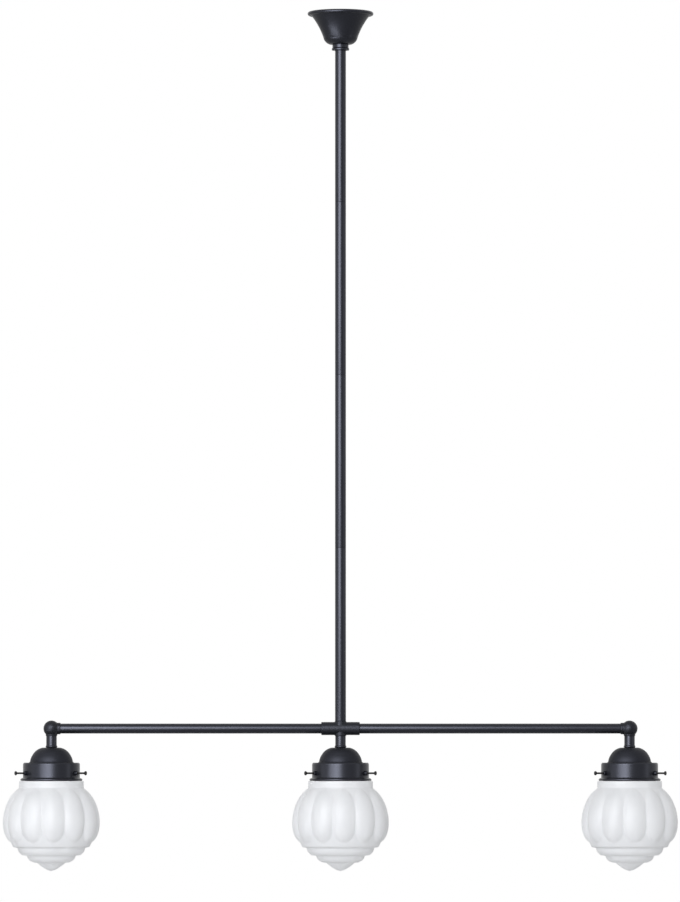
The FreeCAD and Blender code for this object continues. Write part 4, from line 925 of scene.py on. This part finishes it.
SHADE_RING = 288
NECK_BORE_HALF = 36.8 * MM
NECK_HALF_WIDTH = 40.8 * MM
BEAD_HALF = 41.25 * MM
NECK_RISE = 20 * MM
RIB_COUNT = 12
RIB_TURN = 4.6
RIB_REACH = 47.9 * MM
RIB_DROP = 53.5 * MM
RIB_HALF_LENGTH = 45.1 * MM
RIB_HALF_WIDTH = 26 * MM
RIB_TILT = 13.6
GROOVE_SOFTNESS = 1.6 * MM
FLUTE_DEPTH = 0.5 * MM
FLUTE_FADE = 4 * MM
FLUTE_FULL_REACH = 60 * MM
LEAST_FACING = -0.05
INNER_HEM = (56 * MM, -95.4 * MM)
INNER_BELLY = (66.5 * MM, -60 * MM)
INNER_NECK = (NECK_BORE_HALF, -5.5 * MM)
SHOULDER = (50.4 * MM, -11 * MM)
BELLY = (69 * MM, -60 * MM)
HEM = (62.6 * MM, -96 * MM)


def opal_glass():
    """Opal glass: white through its body, so light softens inside it, under a satin skin."""
    settings = {"Roughness": 0.42, "IOR": 1.51, "Specular IOR Level": 0.22,
                "Subsurface Weight": 0.35, "Subsurface Scale": 3 * MM, "Subsurface Radius": (1, 1, 1)}
    material, tree, place = new_finish("opal_glass", settings)
    cloud = add(tree, "ShaderNodeTexNoise", {"Vector": place, "Scale": 1 / (30 * MM), "Detail": 2})
    wave = add(tree, "ShaderNodeTexNoise", {"Vector": place, "Scale": 1 / (8 * MM)})
    tone = add(tree, "ShaderNodeMix", {0: cloud.outputs["Fac"], 6: colour("#e9eaec"), 7: colour("#f1f2f3")},
               data_type="RGBA")
    bump = add(tree, "ShaderNodeBump", {"Height": wave.outputs["Fac"], "Distance": 0.12 * MM})
    return finished(material, {"Base Color": tone.outputs[2], "Normal": bump.outputs["Normal"]})


def rib_reach(tree, given, angle, height):
    """How far a rib reaches from the lamp's axis, at an angle from its crest; nothing where it ends.

    A rib is part of a leaning ellipsoid. Turned and scaled, it becomes a ball of one unit, and the
    reach is the far root of a quadratic.
    """
    lean = add(tree, "ShaderNodeMath", {0: given["Rib tilt"]}, operation="RADIANS")
    sizes = add(tree, "ShaderNodeCombineXYZ", {
        "X": given["Rib half width"], "Y": given["Rib half width"], "Z": given["Rib half length"],
    })
    above = add(tree, "ShaderNodeMath", {0: height, 1: given["Rib drop"]}, operation="ADD")
    inward = add(tree, "ShaderNodeMath", {0: given["Rib reach"], 1: -1.0}, operation="MULTIPLY")
    origin = add(tree, "ShaderNodeCombineXYZ", {"X": inward.outputs[0], "Z": above.outputs[0]})
    across = add(tree, "ShaderNodeMath", {0: angle}, operation="COSINE")
    aside = add(tree, "ShaderNodeMath", {0: angle}, operation="SINE")
    way = add(tree, "ShaderNodeCombineXYZ", {"X": across.outputs[0], "Y": aside.outputs[0]})
    scaled = []
    for vector in (origin, way):
        level = add(tree, "ShaderNodeVectorRotate", {"Vector": vector.outputs[0], "Angle": lean.outputs[0]},
                    rotation_type="Y_AXIS")
        scaled.append(add(tree, "ShaderNodeVectorMath", {0: level.outputs[0], 1: sizes.outputs[0]},
                          operation="DIVIDE").outputs[0])
    start, way = scaled
    square = add(tree, "ShaderNodeVectorMath", {0: way, 1: way}, operation="DOT_PRODUCT").outputs["Value"]
    cross = add(tree, "ShaderNodeVectorMath", {0: start, 1: way}, operation="DOT_PRODUCT").outputs["Value"]
    far = add(tree, "ShaderNodeVectorMath", {0: start, 1: start}, operation="DOT_PRODUCT").outputs["Value"]
    rest = add(tree, "ShaderNodeMath", {0: 1.0, 1: far}, operation="SUBTRACT")
    product = add(tree, "ShaderNodeMath", {0: square, 1: rest.outputs[0]}, operation="MULTIPLY")
    under_root = add(tree, "ShaderNodeMath", {0: cross, 1: cross, 2: product.outputs[0]},
                     operation="MULTIPLY_ADD")
    root = add(tree, "ShaderNodeMath", {0: under_root.outputs[0]}, operation="SQRT")
    length = add(tree, "ShaderNodeMath", {0: root.outputs[0], 1: cross}, operation="SUBTRACT")
    reach = add(tree, "ShaderNodeMath", {0: length.outputs[0], 1: square}, operation="DIVIDE")
    there = add(tree, "ShaderNodeMath", {0: under_root.outputs[0], 1: 0.0}, operation="GREATER_THAN")
    return add(tree, "ShaderNodeMath", {0: reach.outputs[0], 1: there.outputs[0]},
               operation="MULTIPLY").outputs[0]


def ribbed_glass():
    """Raises the ribs and faint flutes on the outside of a turned blank that stands on the lamp's axis."""
    tree, given = new_tree("ribbed_glass", {
        "Rib count": "Int", "Rib reach": "Float", "Rib drop": "Float", "Rib half length": "Float",
        "Rib half width": "Float", "Rib tilt": "Float", "Groove softness": "Float", "Flute depth": "Float",
        "Flute fade": "Float",
    })
    place = add(tree, "GeometryNodeInputPosition")
    apart = add(tree, "ShaderNodeSeparateXYZ", {0: place.outputs[0]})
    height = apart.outputs["Z"]
    flat = add(tree, "ShaderNodeCombineXYZ", {"X": apart.outputs["X"], "Y": apart.outputs["Y"]})
    reach = add(tree, "ShaderNodeVectorMath", {0: flat.outputs[0]}, operation="LENGTH").outputs["Value"]
    outward = add(tree, "ShaderNodeVectorMath", {0: flat.outputs[0]}, operation="NORMALIZE").outputs[0]
    angle = add(tree, "ShaderNodeMath", {0: apart.outputs["Y"], 1: apart.outputs["X"]}, operation="ARCTAN2")
    span = add(tree, "ShaderNodeMath", {0: 2 * math.pi, 1: given["Rib count"]}, operation="DIVIDE")
    half_span = add(tree, "ShaderNodeMath", {0: span.outputs[0], 1: 0.5}, operation="MULTIPLY")
    low_edge = add(tree, "ShaderNodeMath", {0: half_span.outputs[0], 1: -1.0}, operation="MULTIPLY")
    wrapped = add(tree, "ShaderNodeMath", {0: angle.outputs[0], 1: half_span.outputs[0],
                                           2: low_edge.outputs[0]}, operation="WRAP")
    from_crest = add(tree, "ShaderNodeMath", {0: wrapped.outputs[0]}, operation="ABSOLUTE")
    from_next = add(tree, "ShaderNodeMath", {0: span.outputs[0], 1: from_crest.outputs[0]},
                    operation="SUBTRACT")
    own = rib_reach(tree, given, from_crest.outputs[0], height)
    neighbour = rib_reach(tree, given, from_next.outputs[0], height)
    ribs = add(tree, "ShaderNodeMath", {0: own, 1: neighbour, 2: given["Groove softness"]},
               operation="SMOOTH_MAX")

    turns = add(tree, "ShaderNodeMath", {0: angle.outputs[0], 1: given["Rib count"]}, operation="MULTIPLY")
    swing = add(tree, "ShaderNodeMath", {0: turns.outputs[0]}, operation="COSINE")
    depth = add(tree, "ShaderNodeMath", {0: reach, 1: FLUTE_FULL_REACH}, operation="DIVIDE")
    below = add(tree, "ShaderNodeMath", {0: height, 1: -1.0}, operation="MULTIPLY")
    share = add(tree, "ShaderNodeMapRange", {"Value": below.outputs[0], "From Max": given["Flute fade"]})
    lobes = add(tree, "ShaderNodeMapRange", {"Value": swing.outputs[0], "From Min": -1.0, "From Max": 1.0,
                                             "To Min": -1.0, "To Max": 0.0})
    flute = add(tree, "ShaderNodeMath", {0: lobes.outputs[0], 1: given["Flute depth"]}, operation="MULTIPLY")
    faded = add(tree, "ShaderNodeMath", {0: share.outputs[0], 1: depth.outputs[0]}, operation="MULTIPLY")
    fluted = add(tree, "ShaderNodeMath", {0: flute.outputs[0], 1: faded.outputs[0], 2: reach},
                 operation="MULTIPLY_ADD")
    raised = add(tree, "ShaderNodeMath", {0: ribs.outputs[0], 1: fluted.outputs[0],
                                          2: given["Groove softness"]}, operation="SMOOTH_MAX")
    growth = add(tree, "ShaderNodeMath", {0: raised.outputs[0], 1: reach}, operation="SUBTRACT")

    # Only what faces outward is raised; the normals of the bore point to the axis.
    normal = add(tree, "GeometryNodeInputNormal")
    facing = add(tree, "ShaderNodeVectorMath", {0: normal.outputs[0], 1: outward}, operation="DOT_PRODUCT")
    outside = add(tree, "ShaderNodeMath", {0: facing.outputs["Value"], 1: LEAST_FACING},
                  operation="GREATER_THAN")
    step = add(tree, "ShaderNodeMath", {0: growth.outputs[0], 1: outside.outputs[0]}, operation="MULTIPLY")
    return close_moved(tree, given, outward, step.outputs[0])


opal = opal_glass()
shade_tree = ribbed_glass()
shade_blank = [
    (0, -127.8 * MM, 0),
    (17 * MM, -127.8 * MM, 1 * MM),
    (33.8 * MM, -116.8 * MM, 1 * MM),
    (48.5 * MM, -104.8 * MM, 1 * MM),
    (*INNER_HEM, 0),
    *arc(INNER_HEM, INNER_BELLY, -3.6 * MM, 10),
    (*INNER_BELLY, 0),
    *arc(INNER_BELLY, INNER_NECK, -5 * MM, 14),
    (*INNER_NECK, 0),
    (NECK_BORE_HALF, NECK_RISE, 0.8 * MM),
    (BEAD_HALF, NECK_RISE, 1 * MM),
    (BEAD_HALF, 17.6 * MM, 0.6 * MM),
    (NECK_HALF_WIDTH, 15.2 * MM, 0.6 * MM),
    (NECK_HALF_WIDTH, -0.3 * MM, 0.3 * MM),
    (50.4 * MM, -0.3 * MM, 1.6 * MM),
    (*SHOULDER, 0),
    *arc(SHOULDER, BELLY, 5 * MM, 44),
    (*BELLY, 0),
    *arc(BELLY, HEM, 2.2 * MM, 32),
    (*HEM, 0),
    (60.3 * MM, -101 * MM, 1.5 * MM),
    (59 * MM, -103 * MM, 1.2 * MM),
    (53.5 * MM, -104 * MM, 0.5 * MM),
    (52.3 * MM, -105.2 * MM, 0.6 * MM),
    *arc((52.3 * MM, -105.2 * MM), (46.2 * MM, -114.4 * MM), 1.4 * MM, 8),
    (45.2 * MM, -115.6 * MM, 1 * MM),
    (38.8 * MM, -116.3 * MM, 0.5 * MM),
    (37.6 * MM, -117.4 * MM, 0.6 * MM),
    *arc((37.6 * MM, -117.4 * MM), (28.6 * MM, -126 * MM), 1.9 * MM, 8),
    (27.6 * MM, -126.9 * MM, 1 * MM),
    (22 * MM, -127.4 * MM, 0.5 * MM),
    (20.8 * MM, -128.4 * MM, 0.6 * MM),
    *arc((20.8 * MM, -128.4 * MM), (3 * MM, -139.6 * MM), 1 * MM, 8),
    (0, -140.4 * MM, 0),
]
for side in LAMPS:
    node = f"glass_shade_{side}"
    low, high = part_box(node)
    shade = turned(f"{node}_glass", shade_blank, Matrix(), opal, SHADE_RING)
    worked(shade, shade_tree, {
        "Finish": opal, "Rib count": RIB_COUNT, "Rib reach": RIB_REACH, "Rib drop": RIB_DROP,
        "Rib half length": RIB_HALF_LENGTH, "Rib half width": RIB_HALF_WIDTH, "Rib tilt": RIB_TILT,
        "Groove softness": GROOVE_SOFTNESS, "Flute depth": FLUTE_DEPTH, "Flute fade": FLUTE_FADE,
    })
    seat = axis_at(node) @ Matrix.Translation((0, 0, high.z - NECK_RISE))
    shade.data.transform(seat @ Matrix.Rotation(math.radians(RIB_TURN), 4, "Z"))
    stand_for(shade, node)


# ---- Wiring ----
# The three leads from the terminal block to the lampholders, in grey-black sheath with a soft sheen.
# They run inside the stem and the bars.

def lead_sheath():
    """Extruded sheath: matte grey-black with a fine drawn texture."""
    material, tree, place = new_finish("lead_sheath", {"Roughness": 0.55, "IOR": 1.5})
    drawn = add(tree, "ShaderNodeTexNoise", {"Vector": place, "Scale": 1 / (0.8 * MM), "Detail": 2})
    tone = add(tree, "ShaderNodeMix", {0: drawn.outputs["Fac"], 6: colour("#29292c"), 7: colour("#343437")},
               data_type="RGBA")
    bump = add(tree, "ShaderNodeBump", {"Height": drawn.outputs["Fac"], "Distance": 0.03 * MM})
    return finished(material, {"Base Color": tone.outputs[2], "Normal": bump.outputs["Normal"]})


sheath = lead_sheath()
for side in LAMPS:
    dress(f"wiring_{side}", sheath)


# ---- Stage ----
# A pale floor well below the lamps, which is clear from underneath, and a white room. A soft key light
# stands at the front left and a weak fill on each side. Two more lights, which show only in gloss,
# draw the sheen on the black coat.

FLOOR_LEVEL = -1.9
FLOOR_HALF = 20
AMBIENT = 0.52
LIGHT_COLOUR = (0.95, 0.965, 1)
AIM = Vector((-0.0008, 0, -0.6876))
CAMERA_DISTANCE = 11.4
CAMERA_LEVEL = -1.2006
LENS_LENGTH = 292
SENSOR_HEIGHT = 36


def pale_floor():
    """Matte pale paint that keeps the object's shadow and can't be seen from below."""
    material, tree = new_finish("pale_floor", {"Roughness": 0.8, "Base Color": colour("#eeeeee")})[:2]
    geometry = add(tree, "ShaderNodeNewGeometry")
    clear = add(tree, "ShaderNodeBsdfTransparent")
    sides = add(tree, "ShaderNodeMixShader", {
        0: geometry.outputs["Backfacing"], 1: tree.nodes["Principled BSDF"].outputs[0], 2: clear.outputs[0],
    })
    tree.links.new(sides.outputs[0], tree.nodes["Material Output"].inputs["Surface"])
    return material


def white_room():
    """A world that lights at the ambient level, and is plain white where it is seen or mirrored."""
    world = bpy.data.worlds.new("white_room")
    world.use_nodes = True
    tree = world.node_tree
    path = add(tree, "ShaderNodeLightPath")
    seen = add(tree, "ShaderNodeMath", {0: path.outputs["Is Camera Ray"], 1: path.outputs["Is Glossy Ray"]},
               operation="MAXIMUM")
    shown = add(tree, "ShaderNodeMath", {0: seen.outputs[0], 1: path.outputs["Is Transmission Ray"]},
                operation="MAXIMUM")
    level = add(tree, "ShaderNodeMapRange", {"Value": shown.outputs[0], "To Min": AMBIENT, "To Max": 1.0})
    tree.links.new(level.outputs[0], tree.nodes["Background"].inputs["Strength"])
    tree.nodes["Background"].inputs["Color"].default_value = (1, 1, 1, 1)
    bpy.context.scene.world = world


def softbox(name, bearing, distance, level, width, height, power, mirrored_only=False):
    """An area light that faces the pendant; its bearing runs from the front, positive to the left.

    One that is mirrored only shows in gloss and adds nothing to matte surfaces.
    """
    light = bpy.data.lights.new(name, "AREA")
    light.shape = "RECTANGLE"
    light.size = width
    light.size_y = height
    light.energy = power
    light.color = LIGHT_COLOUR
    lamp = bpy.data.objects.new(name, light)
    turn = math.radians(bearing)
    lamp.location = (-distance * math.sin(turn), -distance * math.cos(turn), level)
    lamp.rotation_euler = (AIM - lamp.location).to_track_quat("-Z", "Y").to_euler()
    lamp.visible_camera = False
    lamp.visible_diffuse = not mirrored_only
    bpy.context.scene.collection.objects.link(lamp)


sheet = bmesh.new()
bmesh.ops.create_grid(sheet, x_segments=1, y_segments=1, size=FLOOR_HALF)
floor = made("floor", sheet, pale_floor())
floor.data.transform(Matrix.Translation((0, 0, FLOOR_LEVEL)))
white_room()
softbox("key", 15, 4.5, 0.1, 1.7, 3.2, 86)
softbox("front_gloss", 22, 4.5, 0.5, 4.2, 3.2, 400, mirrored_only=True)
softbox("low_gloss", 42, 2.2, -2, 2.4, 1, 85, mirrored_only=True)
softbox("left_fill", 80, 4, -0.6, 1.6, 2.5, 9)
softbox("right_fill", -75, 5, -0.6, 1.2, 2.5, 14)

camera_data = bpy.data.cameras.new("camera")
camera_data.sensor_fit = "VERTICAL"
camera_data.sensor_height = SENSOR_HEIGHT
camera_data.lens = LENS_LENGTH
camera = bpy.data.objects.new("camera", camera_data)
camera.location = (AIM.x, -CAMERA_DISTANCE, CAMERA_LEVEL)
camera.rotation_euler = (AIM - camera.location).to_track_quat("-Z", "Y").to_euler()
bpy.context.scene.collection.objects.link(camera)
bpy.context.scene.camera = camera
bpy.context.scene.view_settings.view_transform = "Standard"

bpy.context.view_layer.update()
